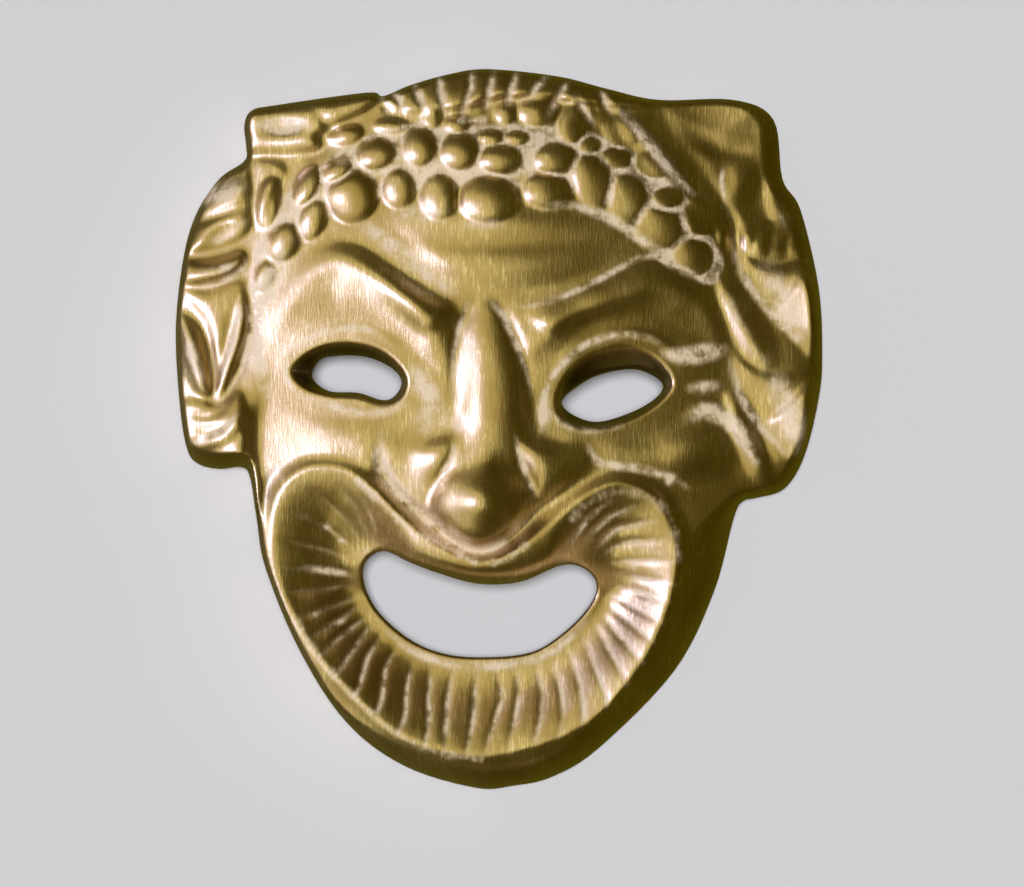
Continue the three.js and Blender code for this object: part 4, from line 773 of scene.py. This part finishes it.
# Bloom: the pale matte film that lies in the folds, with a few painted highlights laid in its colour.
# Lines are [x, y, strength, half width].
bloomAndHighlightLines = [
    # under the berries at the right
    [[10, 59.8, 0, 1.6], [19, 61, 0.5, 1.8], [28, 58.6, 0.8, 2.2], [35.6, 54.4, 0.85, 2.4],
     [42.5, 49.4, 0.85, 2.4], [48, 45, 0.8, 2.2], [55, 41, 0, 1.6]],
    # at the left temple, on the lids and round the eyes
    [[-56, 53, 0, 2], [-62, 44, 0.8, 2.8], [-66, 34, 1, 3], [-66.4, 22, 1, 3.2], [-64, 12, 0.5, 3],
     [-62, 4, 0, 2]],
    [[-58, 20, 0, 1.2], [-53, 24, 0.5, 1.4], [-45, 26.8, 0.6, 1.5], [-36, 26.8, 0.6, 1.5],
     [-28, 21.5, 0, 1.2]],
    # a painted highlight: a thin pale line at the left eye's outer corner
    [[-57.5, 21.5, 0, 0.8], [-58.4, 15, 0.8, 1], [-56.5, 10.5, 0.3, 1]],
    [[-56, 9, 0, 1.4], [-46, 6.2, 0.7, 1.8], [-38, 3.8, 0.8, 2], [-29, 4.6, 0.4, 1.8], [-24, 8, 0, 1.2]],
    [[11.6, -1, 0.2, 1], [12.4, 7, 0.8, 1.5], [15, 14, 0.8, 1.6], [22, 21.2, 0.7, 1.8],
     [30.5, 25, 0.6, 1.8], [40, 24.8, 0.5, 1.6], [46, 22, 0, 1.2]],
    [[45, 20.4, 0.3, 2], [51, 19.6, 1, 3.4], [58, 20.6, 1, 3.6], [64, 22, 0, 2]],
    [[51, 10.6, 0, 1.6], [56.5, 11, 0.9, 2.6], [62, 12.4, 0, 1.6]],
    [[50.5, 1, 0, 2], [56, 4.4, 1, 3.2], [62, 2.8, 1, 3.4], [66.4, -1.6, 1, 3], [71, -9.6, 0.3, 2]],
    [[14, 5, 0, 1.2], [17, 1.4, 0.5, 1.6], [24, -1, 0.5, 1.6], [34, 0.4, 0.2, 1.4]],
    # beside the nose and under it
    [[-32, 0.5, 0, 2], [-32.4, -9, 0.7, 3], [-27, -18, 0.75, 3.2], [-20, -24.6, 0.75, 3.2],
     [-12.4, -29.8, 0.8, 3], [-5, -33.6, 0.9, 2.2], [2, -30.5, 0.5, 1.8], [6.4, -24.6, 0.2, 1.2]],
    [[24, -3.5, 0, 1.4], [27, -9, 0.8, 1.8], [32, -10.4, 0.8, 1.8], [38, -11.2, 0.8, 1.8],
     [43, -12.4, 0.7, 1.8], [48, -13.6, 0.5, 1.6], [53.5, -18, 0, 1.2]],
    [[-11.8, -4, 0.2, 0.9], [-13, -9, 1, 1.3], [-16.8, -16, 0.9, 1.3], [-18, -19, 0, 0.8]],
    [[5, -3, 0.3, 0.9], [6.4, -9, 1, 1.3], [9.4, -16, 0.8, 1.3], [10.6, -19, 0, 0.8]],
    [[-1.4, 34, 0.3, 1.4], [2.4, 29, 0.9, 1.8], [5, 23, 0.9, 1.6], [8.4, 13, 0.3, 1.1], [9.4, 8, 0, 0.8]],
    [[-8, 34, 0.2, 1.2], [-10.6, 27, 0.7, 1.4], [-12, 18, 0.6, 1.4], [-12.4, 8, 0.3, 1.2], [-12, 2, 0, 1]],
    [[3, 33.5, 0, 1], [9, 33.2, 0.5, 1.2], [17, 35.6, 0.7, 1.4], [26, 39.6, 0.8, 1.4], [34, 44, 0.7, 1.4],
     [40.5, 47, 0.6, 1.3], [48, 45.4, 0.6, 1.3], [56, 41, 0.1, 1]],
    # a painted highlight: a pale streak where the forehead sinks toward the left brow
    [[-40, 57, 0, 3], [-32, 52, 0.6, 3.6], [-24, 45.6, 0.75, 3.6], [-16, 39, 0.5, 2.4], [-9, 36, 0, 1.2]],
    # leaves and ribbons
    [[-79.5, 50.4, 0, 1.6], [-75.5, 53, 0.7, 2.2], [-70, 56.6, 0.3, 1.6]],
    [[33.5, 87.5, 0.3, 1.4], [37.5, 82.8, 1, 2], [43, 76.2, 1, 2.2], [48, 70, 0.8, 2],
     [54, 64.4, 0.2, 1.4]],
    [[62.6, 73.5, 0, 1], [61.8, 67.5, 0.9, 1.2], [63, 62, 0.2, 1]],
    [[64.5, 51, 0, 1.4], [67.6, 42, 0.7, 1.9], [74.6, 32, 0.8, 1.9], [82, 24, 0.3, 1.5]],
    [[63.6, 20, 0, 1.4], [66.6, 9, 0.7, 1.9], [72, 0.6, 0.8, 1.9], [79, -7.6, 0.3, 1.5]],
    [[-86.5, 38.8, 0, 1], [-79, 39.2, 0.5, 1.2], [-70.6, 43.4, 0.7, 1.2], [-69, 47, 0, 1]],
    [[-68.4, 35, 0, 1], [-67.6, 28, 0.6, 1.2], [-70.4, 17, 0.6, 1.4], [-75, 8.4, 0, 1]],
    [[71.5, 46, 0, 3], [75.5, 40, 0.6, 5], [80.5, 31, 0.8, 5], [85, 22, 0, 3]],
    [[72, 20, 0, 3], [76.5, 12, 0.5, 4.6], [81, 3, 0.9, 4.6], [82.5, -6, 0.2, 3]],
    [[63, 38, 0, 1.4], [66, 29, 0.6, 2], [71, 20.4, 0.3, 2], [75, 17, 0, 1.4]],
    [[65.6, 3, 0, 1.2], [68.4, -4, 0.6, 1.8], [71.4, -11.4, 0, 1.4]],
    [[76, 62.6, 0, 1], [78, 58, 0.4, 1.4], [80, 55, 0, 1]],
    # leaves at the left
    [[-84.5, 66, 0, 3], [-80, 64, 0.7, 4], [-73, 66, 0.7, 4], [-69, 68, 0, 3]],
    [[-84, 43.4, 0, 1.4], [-77, 43, 0.6, 1.6], [-71, 45.6, 0, 1.2]],
    [[-86, 26, 0, 1.6], [-84, 20, 0.9, 2.2], [-81.4, 12, 0.4, 1.6], [-80.4, 9, 0, 1]],
    [[-70.8, 36, 0, 1], [-71.4, 30, 0.8, 1.6], [-73.4, 22, 0.9, 1.6], [-76.6, 11, 0, 1]],
    [[-85.6, -4.6, 0, 1.2], [-79, -2.6, 0.8, 1.8], [-74, 0.6, 0.7, 1.6], [-71, 5, 0, 1.2]],
    # the mouth's crest at the left: first a faint painted highlight along it, then a pale stroke in the
    # funnel
    [[-63, -40, 0, 1], [-62.4, -30, 0.2, 0.9], [-60.4, -21.6, 0.25, 0.9], [-55.6, -15.6, 0.15, 0.9],
     [-48.6, -12.4, 0.1, 0.9], [-42, -12, 0, 0.8]],
    [[-55.4, -38.4, 0, 1.2], [-48, -39.4, 0.8, 1.6], [-41.4, -40.4, 0.4, 1.3]],
    # the lower edge of the mouth's hole
    [[-33, -54, 0, 1.2], [-25, -61, 0.6, 1.8], [-15, -65, 0.8, 2], [-4, -66, 0.8, 2.2], [9, -64.5, 0.8, 2],
     [19.5, -58.5, 0.6, 1.8], [26, -51, 0, 1.2]],
]
# (points, strength, half width, one tooth in every so many millimetres)
bloomTeeth = [
    ([[-36.5, 79.4], [-29, 81.8], [-21, 83.4]], 0.9, 1.3, 1.3),
    ([[-10.4, 84.4], [-4, 84.8]], 0.9, 1.4, 1.3),
    ([[-38.5, -14.5], [-31, -21.5], [-25.5, -26.4], [-18, -31], [-12, -33.6], [-7, -36.4], [1, -36.6],
     [8, -32]], 0.8, 1.6, 1.3),
    ([[-56, -52], [-50, -62], [-42, -71.6], [-33, -80.2], [-24, -86.4], [-14, -90], [-5, -91]],
     0.65, 1.5, 2.2),
    ([[20.5, -25], [25, -20.4], [32, -17.8], [40, -18.6], [45, -22], [48, -28], [49.5, -36]], 0.4, 2, 2.3),
]
# (x, y, half length, half width, turn, strength)
bloomPatches = [
    (-19, 9, 4.5, 12, 30, 0.9), (-20, 2, 4, 5, 0, 0.5), (12.6, 4, 2.8, 6.5, 0, 0.8),
    (-11, 1, 2.4, 4, 0, 0.6), (-59.5, 83.2, 9.5, 3.2, 0, 1.8), (-76, 44, 5, 1.6, 12, 0.5),
    (-47, -27, 2, 1.2, -30, 0.8), (-43, -31.4, 1.8, 1.2, -20, 0.8), (-36, -34, 1.8, 1, 30, 0.6),
    (-50, -51.5, 2.4, 1.2, 20, 0.6), (-43, -53.5, 2, 1.2, 35, 0.6), (37, -38, 2.4, 3, 0, 0.8),
    (42, -48, 2.4, 3, 0, 0.7), (47, -14.5, 1.8, 2.2, 0, 0.8), (-22, 58.4, 11, 3.6, -4, 0.6),
    (-4, 55.6, 8, 2.4, -4, 0.45), (-43, 75.6, 5, 5, 0, 0.5),
]
bloomShare = {"flutesAtLeft": 0.25, "flutes": 1, "hair": 1.1}


def bloomAndHighlightField():
    field = flat()
    for line in bloomAndHighlightLines:
        addRidge(field, line)
    for points, strength, wide, every in bloomTeeth:
        addSerrated(field, points, strength, wide, every)
    for x0, y0, long, wide, turn, strength in bloomPatches:
        addMound(field, x0, y0, long, wide, turn, strength)
    # strong under the mouth and at its right, faint at its left
    faint, full = bloomShare["flutesAtLeft"], bloomShare["flutes"]
    laid = faint + (full - faint) * smoothStep(-48, -34, fullX - 0.35 * (fullY + 50))
    field += laid * (-fluteCuts() / mouth["grooveDepth"]) ** 1.3 * (insideBy(mouthCrest, fullX, fullY) > 0)
    field += bloomShare["hair"] * (-hairCuts() / hair["depth"]) ** 1.1
    band = flat()
    addRidge(band, [[x, y, 1, left + 1, right + 3] for x, y, _, left, right in wreathBand])
    field += wreath["gapBloom"] * smoothStep(0.15, 0.4, band) * stonesField()[1]
    return np.clip(field, 0, 1)


def paintedShadeField():
    # Painted shade: 1 well inside the lids, where no light falls, and less in the groove outside the mouth's
    # left crest; the metal's colour is darkened there
    field = flat()
    addRidge(field, [
        [-57, -9.4, 0, 1.6], [-62.4, -12.6, 0.5, 2.2, 2], [-65.2, -18.6, 0.7, 2.6, 2.2],
        [-66.4, -26, 0.7, 2.8, 2.4], [-66.4, -34, 0.6, 2.6, 2.2], [-64, -44, 0, 2]])
    for lid in (leftLid, rightLid):
        part = windowRound(lid, 1)
        field[part] = smoothStep(0, 2, insideBy(lid, fullX[part], fullY[part]))
    return field


def ballUnder(field, radius):
    # How high the middle of a ball of this radius can stand at each place, with all of it under the field
    reach = int(radius / grid["pitch"])
    wide = np.pad(field, reach, mode="edge")
    lowest = np.full(field.shape, np.inf)
    for j in range(-reach, reach + 1):
        for i in range(-reach, reach + 1):
            gap = math.hypot(i, j) * grid["pitch"]
            if gap <= radius:
                part = wide[reach + j:reach + j + field.shape[0], reach + i:reach + i + field.shape[1]]
                lowest = np.minimum(lowest, part - math.sqrt(radius ** 2 - gap ** 2))
    return lowest


# The mesh: one sheet of facets over the face, one under it, joined at the outline and in the holes
facets = {
    "frontStep": 0.68,
    "frontClear": 0.3,
    "backStep": 1.7,
    "backClear": 1.2,
    "backHoleClear": 0.8,
    "edgeStep": 0.6,
    "edgeRings": (0.04, 0.14, 0.3, 0.55, 0.9),
    "holeRings": (0.04, 0.16, 0.36, 0.66, 1.05),
    "wallRows": 3,
}
# How far round a place its surroundings reach, where the metal is told how far below them it lies
recesses = {"broad": 2.4, "fine": 0.9}


def evenSteps(loop, step):
    ends = np.vstack([loop, loop[:1]])[:, :2]
    travelled = distanceAlong(ends)
    count = round(travelled[-1] / step)
    goals = np.arange(count) * travelled[-1] / count
    return np.stack([np.interp(goals, travelled, ends[:, k]) for k in (0, 1)], 1)


def asideBy(loop, distance):
    # The loop moved along its normals to its left, where it stays that far from itself
    ahead, behind = np.roll(loop, -1, 0), np.roll(loop, 1, 0)
    along = ahead - behind
    along /= np.hypot(*along.T)[:, None]
    moved = loop + distance * np.stack([-along[:, 1], along[:, 0]], 1)
    gap = nearestOn(loop, moved[:, 0], moved[:, 1], True)[0]
    return moved[gap > 0.97 * abs(distance)]


def leftTurning(loop):
    ahead = np.roll(loop, -1, 0)
    area = (loop[:, 0] * ahead[:, 1] - ahead[:, 0] * loop[:, 1]).sum()
    return loop if area > 0 else loop[::-1]


def staggeredRows(step, clearance):
    # Rows of places, every other row half a step on, clear of the outline and the holes
    rows = np.arange(-grid["halfHeight"], grid["halfHeight"], step * 0.866)
    columns = np.arange(-grid["halfWidth"], grid["halfWidth"], step)
    x = columns[None, :] + (np.arange(len(rows)) % 2)[:, None] * step / 2
    y = np.broadcast_to(rows[:, None], x.shape)
    x, y = x.ravel(), y.ravel()
    clear = insideBy(outline, x, y) > clearance
    for hole in holes:
        clear &= insideBy(hole, x, y) < -clearance
    return np.stack([x[clear], y[clear]], 1)


def netOver(loops, loosePlaces):
    # Delaunay triangles over the loops' own points and the loose ones, kept inside the first loop and
    # outside the others
    places = np.vstack([*loops, loosePlaces])
    edges, start = [], 0
    for loop in loops:
        count = len(loop)
        edges += [(start + k, start + (k + 1) % count) for k in range(count)]
        start += count
    found = delaunay_2d_cdt([Vector(p) for p in places.tolist()], edges, [], 0, 1e-9, True)
    cornerOf = np.array([ids[0] for ids in found[3]])
    triangles = cornerOf[np.array(found[2])]
    middle = places[triangles].mean(1)
    keep = insideBy(loops[0], middle[:, 0], middle[:, 1]) > 0
    for loop in loops[1:]:
        keep &= insideBy(loop, middle[:, 0], middle[:, 1]) < 0
    return places, triangles[keep]


def heightOver(relief, rim, holeLoops, x, y):
    # the relief, rolled down at the outline and rounded off at the holes
    z = readField(relief, x, y)
    for loop in holeLoops:
        u = np.clip(-insideBy(loop, x, y) / body["holeRound"], 0, 1)
        z = z - body["holeDrop"] * (1 - np.sqrt(1 - (1 - u) ** 2))
    return z * rollShare(np.maximum(insideBy(rim, x, y), 0), x, y)


def heightUnder(under, rim, x, y):
    # the flat rim, then the inner wall up to the back of the sheet
    start = body["wall"]
    return readField(under, x, y) * smoothStep(start, start + body["innerWallRun"], insideBy(rim, x, y))


def frontSheet(rim, holeLoops):
    loose = [asideBy(rim, d) for d in facets["edgeRings"]]
    loose += [asideBy(loop, -d) for loop in holeLoops for d in facets["holeRings"]]
    loose.append(staggeredRows(facets["frontStep"], facets["edgeRings"][-1] + facets["frontClear"]))
    return netOver([rim, *holeLoops], np.vstack(loose))


def backSheet(rim, holeLoops):
    wall, run = body["wall"], body["innerWallRun"]
    loose = [asideBy(rim, d) for d in (0.5 * wall, wall, wall + 0.5 * run, wall + run)]
    loose = np.vstack([*loose, staggeredRows(facets["backStep"], wall + facets["backClear"])])
    for loop in holeLoops:
        loose = loose[insideBy(loop, loose[:, 0], loose[:, 1]) < -facets["backHoleClear"]]
    return netOver([rim, *holeLoops], loose)


def addHoleWall(points, faces, upper, lower):
    # rows of facets from a hole's loop in the front sheet to the same loop in the back sheet
    rows = [upper]
    for k in range(1, facets["wallRows"]):
        t = k / facets["wallRows"]
        rows.append(len(points) + np.arange(len(upper)))
        points = np.vstack([points, points[upper] * (1 - t) + points[lower] * t])
    rows.append(lower)
    for above, below in zip(rows, rows[1:]):
        nextAbove, nextBelow = np.roll(above, -1), np.roll(below, -1)
        faces.append(np.column_stack([above, nextAbove, below]))
        faces.append(np.column_stack([nextAbove, nextBelow, below]))
    return points


def maskMesh():
    relief = reliefField()
    edge = np.maximum(insideBy(outline, fullX, fullY), 0)
    under = ballUnder(relief * rollShare(edge, fullX, fullY), body["wall"])
    carriedFields = {name: blur(relief, radius) - relief for name, radius in recesses.items()}
    carriedFields.update({"bloom_and_highlight": bloomAndHighlightField(), "painted_shade": paintedShadeField()})
    print("back of the sheet shaped")

    rim = leftTurning(evenSteps(outline, facets["edgeStep"]))
    holeLoops = [leftTurning(evenSteps(hole, facets["edgeStep"])) for hole in holes]
    front, frontFaces = frontSheet(rim, holeLoops)
    back, backFaces = backSheet(rim, holeLoops)
    print("facets laid:", len(frontFaces), "over and", len(backFaces), "under")

    rimCount = len(rim)
    frontZ = heightOver(relief, rim, holeLoops, *front.T)
    frontZ[:rimCount] = 0
    points = np.column_stack([front, frontZ])
    # the underside shares the rim's points and has its own from there on
    backPoints = np.column_stack([back, heightUnder(under, rim, *back.T)])[rimCount:]
    backIndex = np.concatenate([np.arange(rimCount), len(points) + np.arange(len(backPoints))])
    faces = [frontFaces, backIndex[backFaces][:, ::-1]]
    points = np.vstack([points, backPoints])
    start = rimCount
    for loop in holeLoops:
        upper = start + np.arange(len(loop))
        points = addHoleWall(points, faces, upper, backIndex[upper])
        start += len(loop)
    faces = np.vstack(faces)

    middle = (outline.max(0) + outline.min(0)) / 2
    mesh = bpy.data.meshes.new("mask")
    mesh.vertices.add(len(points))
    mesh.vertices.foreach_set("co", ((points - [*middle, 0]) * mm).astype(np.float32).ravel())
    mesh.loops.add(faces.size)
    mesh.loops.foreach_set("vertex_index", faces.astype(np.int32).ravel())
    mesh.polygons.add(len(faces))
    mesh.polygons.foreach_set("loop_start", np.arange(0, faces.size, 3, dtype=np.int32))
    mesh.polygons.foreach_set("use_smooth", np.ones(len(faces), bool))
    onFront = np.arange(len(points)) < len(front)
    for name, field in carriedFields.items():
        value = np.where(onFront, readField(field, points[:, 0], points[:, 1]), 0)
        mesh.attributes.new(name, "FLOAT", "POINT").data.foreach_set("value", value.astype(np.float32))
    mesh.update(calc_edges=True)
    mesh.validate()
    return mesh


# Materials

class Socket:
    # A node's output, on which the usual operators add Math nodes
    def __init__(self, shop, link):
        self.shop, self.link = shop, link

    def maths(self, operation, *values):
        return self.shop.node("ShaderNodeMath", {"operation": operation}, dict(enumerate(values)))

    def __add__(self, other):
        return self.maths("ADD", self, other)

    def __radd__(self, other):
        return self.maths("ADD", other, self)

    def __sub__(self, other):
        return self.maths("SUBTRACT", self, other)

    def __rsub__(self, other):
        return self.maths("SUBTRACT", other, self)

    def __mul__(self, other):
        return self.maths("MULTIPLY", self, other)

    def __rmul__(self, other):
        return self.maths("MULTIPLY", other, self)

    def __truediv__(self, other):
        return self.maths("DIVIDE", self, other)

    def held(self):
        # kept between 0 and 1
        return self.maths("MINIMUM", self.maths("MAXIMUM", self, 0.0), 1.0)


class Shop:
    # One material's nodes
    def __init__(self, name):
        self.material = bpy.data.materials.new(name)
        self.material.use_nodes = True
        self.tree = self.material.node_tree
        self.tree.nodes.clear()

    def node(self, kind, settings=None, values=None, output=0):
        # the node's given output, wrapped; the last node of a material has none
        made = self.tree.nodes.new(kind)
        for key, value in (settings or {}).items():
            setattr(made, key, value)
        for key, value in (values or {}).items():
            if isinstance(value, Socket):
                self.tree.links.new(value.link, made.inputs[key])
            else:
                made.inputs[key].default_value = value
        return Socket(self, made.outputs[output]) if made.outputs else None

    def attribute(self, name):
        return self.node("ShaderNodeAttribute", {"attribute_name": name}, output="Fac")

    def mixColour(self, share, first, second):
        return self.node("ShaderNodeMix", {"data_type": "RGBA"}, {0: share, 6: first, 7: second}, output=2)

    def noise(self, place, scale, detail=2.0, roughness=0.5):
        return self.node("ShaderNodeTexNoise", {}, {"Vector": place, "Scale": scale, "Detail": detail,
                                                    "Roughness": roughness})


metalLook = {
    "gold": (0.56, 0.42, 0.29, 1),
    "brown": (0.38, 0.265, 0.12, 1),
    "dash": (0.84, 0.72, 0.60, 1),
    "bloom_and_highlight": (0.86, 0.71, 0.57, 1),
    # the painted shade's colour, for the eye sockets and the groove outside the mouth's left crest
    "paintedShadeColour": (0.07, 0.055, 0.015, 1),
    "roughness": 0.37,
    "dashRoughness": 0.3,
    "bloomRoughness": 0.65,
    "coatRoughness": 0.14,
    "streakWidth": 0.5,
    "streakLength": 4.5,
    "streakBump": 0.16,
    "patchesPerMetre": 55.0,
    "specksPerMetre": 210.0,
    "grainsPerMetre": 700.0,
    # how strongly the painted shade is mixed in
    "paintedShadeAmount": 0.85,
    "coat": 0.9,
}


def rubbedMetal():
    shop = Shop("rubbed copper alloy")
    place = shop.node("ShaderNodeTexCoord", output="Object")
    look = metalLook
    streakPlace = shop.node("ShaderNodeMapping", {}, {
        "Vector": place, "Scale": (1 / (look["streakWidth"] * mm), 1 / (look["streakLength"] * mm), 100)})
    streaks = shop.noise(streakPlace, 1.0, 3.0, 0.65)
    patches = shop.noise(place, look["patchesPerMetre"], 3.0, 0.6)
    specks = shop.noise(place, look["specksPerMetre"], 3.0, 0.65)
    grain = shop.noise(place, look["grainsPerMetre"], 2.0, 0.6)
    broad, fine, laid, painted_shade = (shop.attribute(name) for name in ("broad", "fine", "bloom_and_highlight", "painted_shade"))
    # the bloom lies in the recesses and where it was laid, with a few painted highlights laid the same way,
    # broken up by specks and streaks
    broken = ((specks - 0.36) / 0.22).held() * (1.7 * streaks - 0.1).held()
    hollow = ((broad - 0.4) / 1.4).held() * 0.16 + ((fine - 0.1) / 0.3).held() * 0.12
    bloom_and_highlight = (hollow.held() * (0.1 + 1.2 * broken) + laid * (0.35 + 1.6 * broken)).held()
    # short upright dashes, brighter and smoother than the rest
    dashes = ((streaks - 0.53) / 0.08).held() * ((patches - 0.38) / 0.2).held() * 0.75
    colour = shop.mixColour((patches * 2.4 - 0.6).held(), look["brown"], look["gold"])
    colour = shop.mixColour(dashes, colour, look["dash"])
    colour = shop.mixColour(bloom_and_highlight, colour, look["bloom_and_highlight"])
    # painted shade: the colour is darkened inside the eye sockets and in the groove outside the mouth's left
    # crest
    colour = shop.mixColour(painted_shade * look["paintedShadeAmount"], colour, look["paintedShadeColour"])
    usual = look["roughness"]
    roughness = usual + dashes * (look["dashRoughness"] - usual) + 0.16 * (specks - 0.5)
    roughness = roughness + bloom_and_highlight * (look["bloomRoughness"] - usual)
    bump = shop.node("ShaderNodeBump", {}, {
        "Strength": 0.6, "Distance": look["streakBump"] * mm, "Height": streaks + 0.3 * grain})
    surface = shop.node("ShaderNodeBsdfPrincipled", {}, {
        "Base Color": colour, "Metallic": 1 - 0.8 * bloom_and_highlight, "Roughness": roughness, "Normal": bump,
        "Coat Weight": look["coat"] * (1 - bloom_and_highlight), "Coat Roughness": look["coatRoughness"]})
    shop.node("ShaderNodeOutputMaterial", {}, {"Surface": surface})
    return shop.material


floorLook = {"colour": (0.78, 0.79, 0.86, 1), "roughness": 0.9}


def paleFloor():
    shop = Shop("pale floor")
    surface = shop.node("ShaderNodeBsdfPrincipled", {}, {
        "Base Color": floorLook["colour"], "Roughness": floorLook["roughness"], "Specular IOR Level": 0.0})
    shop.node("ShaderNodeOutputMaterial", {}, {"Surface": surface})
    return shop.material


# Stage: distances in metres

stage = {
    "floorHalf": 3.0,
    "floorLevel": -0.0005,
    "world": (0.08, 0.066, 0.003),
    "lampDistance": 2.0,
    "cameraDistance": 2.6,
    "levelOfOutline": 0.008,
    "frameWidth": 0.28365,
    "aim": (0.0036, -0.004),
}
lamps = [
    # name, degrees from overhead, degrees round from the viewer's right, degrees that it looks wide,
    # strength, colour, and whether it is only mirrored, or else only lights matte surfaces
    ("wide box at the left", 44, 180, 124, 2.25, (1, 0.93, 0.38), True),
    ("box in it", 64, 181, 56, 0.4, (0.9, 1, 2.6), True),
    ("core of the box", 65, 181, 28, 1.45, (0.95, 1, 1.5), True),
    ("soft overhead", 2, 120, 10, 2.3, (1, 1, 1), False),
]


def placed(name, data):
    # the object that shows a mesh, a lamp or a camera
    made = bpy.data.objects.new(name, data)
    bpy.context.scene.collection.objects.link(made)
    return made


def makeFloor():
    half, level = stage["floorHalf"], stage["floorLevel"]
    corners = [(-half, -half, level), (half, -half, level), (half, half, level), (-half, half, level)]
    floorMesh = bpy.data.meshes.new("floor")
    floorMesh.from_pydata(corners, [], [(0, 1, 2, 3)])
    floorMesh.materials.append(paleFloor())
    floor = placed("floor", floorMesh)
    floor.visible_glossy = False


def makeWorld():
    world = bpy.data.worlds.new("studio")
    world.use_nodes = True
    world.node_tree.nodes["Background"].inputs["Color"].default_value = (*stage["world"], 1)
    world.node_tree.nodes["Background"].inputs["Strength"].default_value = 1
    bpy.context.scene.world = world


def makeLamp(name, tilt, turn, wide, strength, colour, mirrored):
    lamp = bpy.data.lights.new(name, "SUN")
    lamp.angle = math.radians(wide)
    lamp.energy = strength
    lamp.color = colour
    tilt, turn = math.radians(tilt), math.radians(turn)
    toward = Vector((math.sin(tilt) * math.cos(turn), math.sin(tilt) * math.sin(turn), math.cos(tilt)))
    holder = placed(name, lamp)
    holder.location = stage["lampDistance"] * toward
    holder.rotation_euler = (-toward).to_track_quat("-Z", "Y").to_euler()
    holder.visible_glossy = mirrored
    holder.visible_diffuse = not mirrored


def makeCamera():
    # straight overhead, with the frame's width measured at the outline's level
    camera = bpy.data.cameras.new("camera")
    camera.sensor_width = 36
    camera.lens = camera.sensor_width * stage["cameraDistance"] / stage["frameWidth"]
    camera.clip_start, camera.clip_end = 0.1, 20
    holder = placed("camera", camera)
    holder.location = (*stage["aim"], stage["levelOfOutline"] + stage["cameraDistance"])
    bpy.context.scene.camera = holder


mesh = maskMesh()
mesh.materials.append(rubbedMetal())
mask = placed("mask_relief", mesh)
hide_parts("mask")
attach(mask, "root")
print("mask made:", len(mesh.polygons), "facets")

makeFloor()
makeWorld()
for lamp in lamps:
    makeLamp(*lamp)
makeCamera()
bpy.context.scene.view_settings.view_transform = "Standard"
print("stage set")
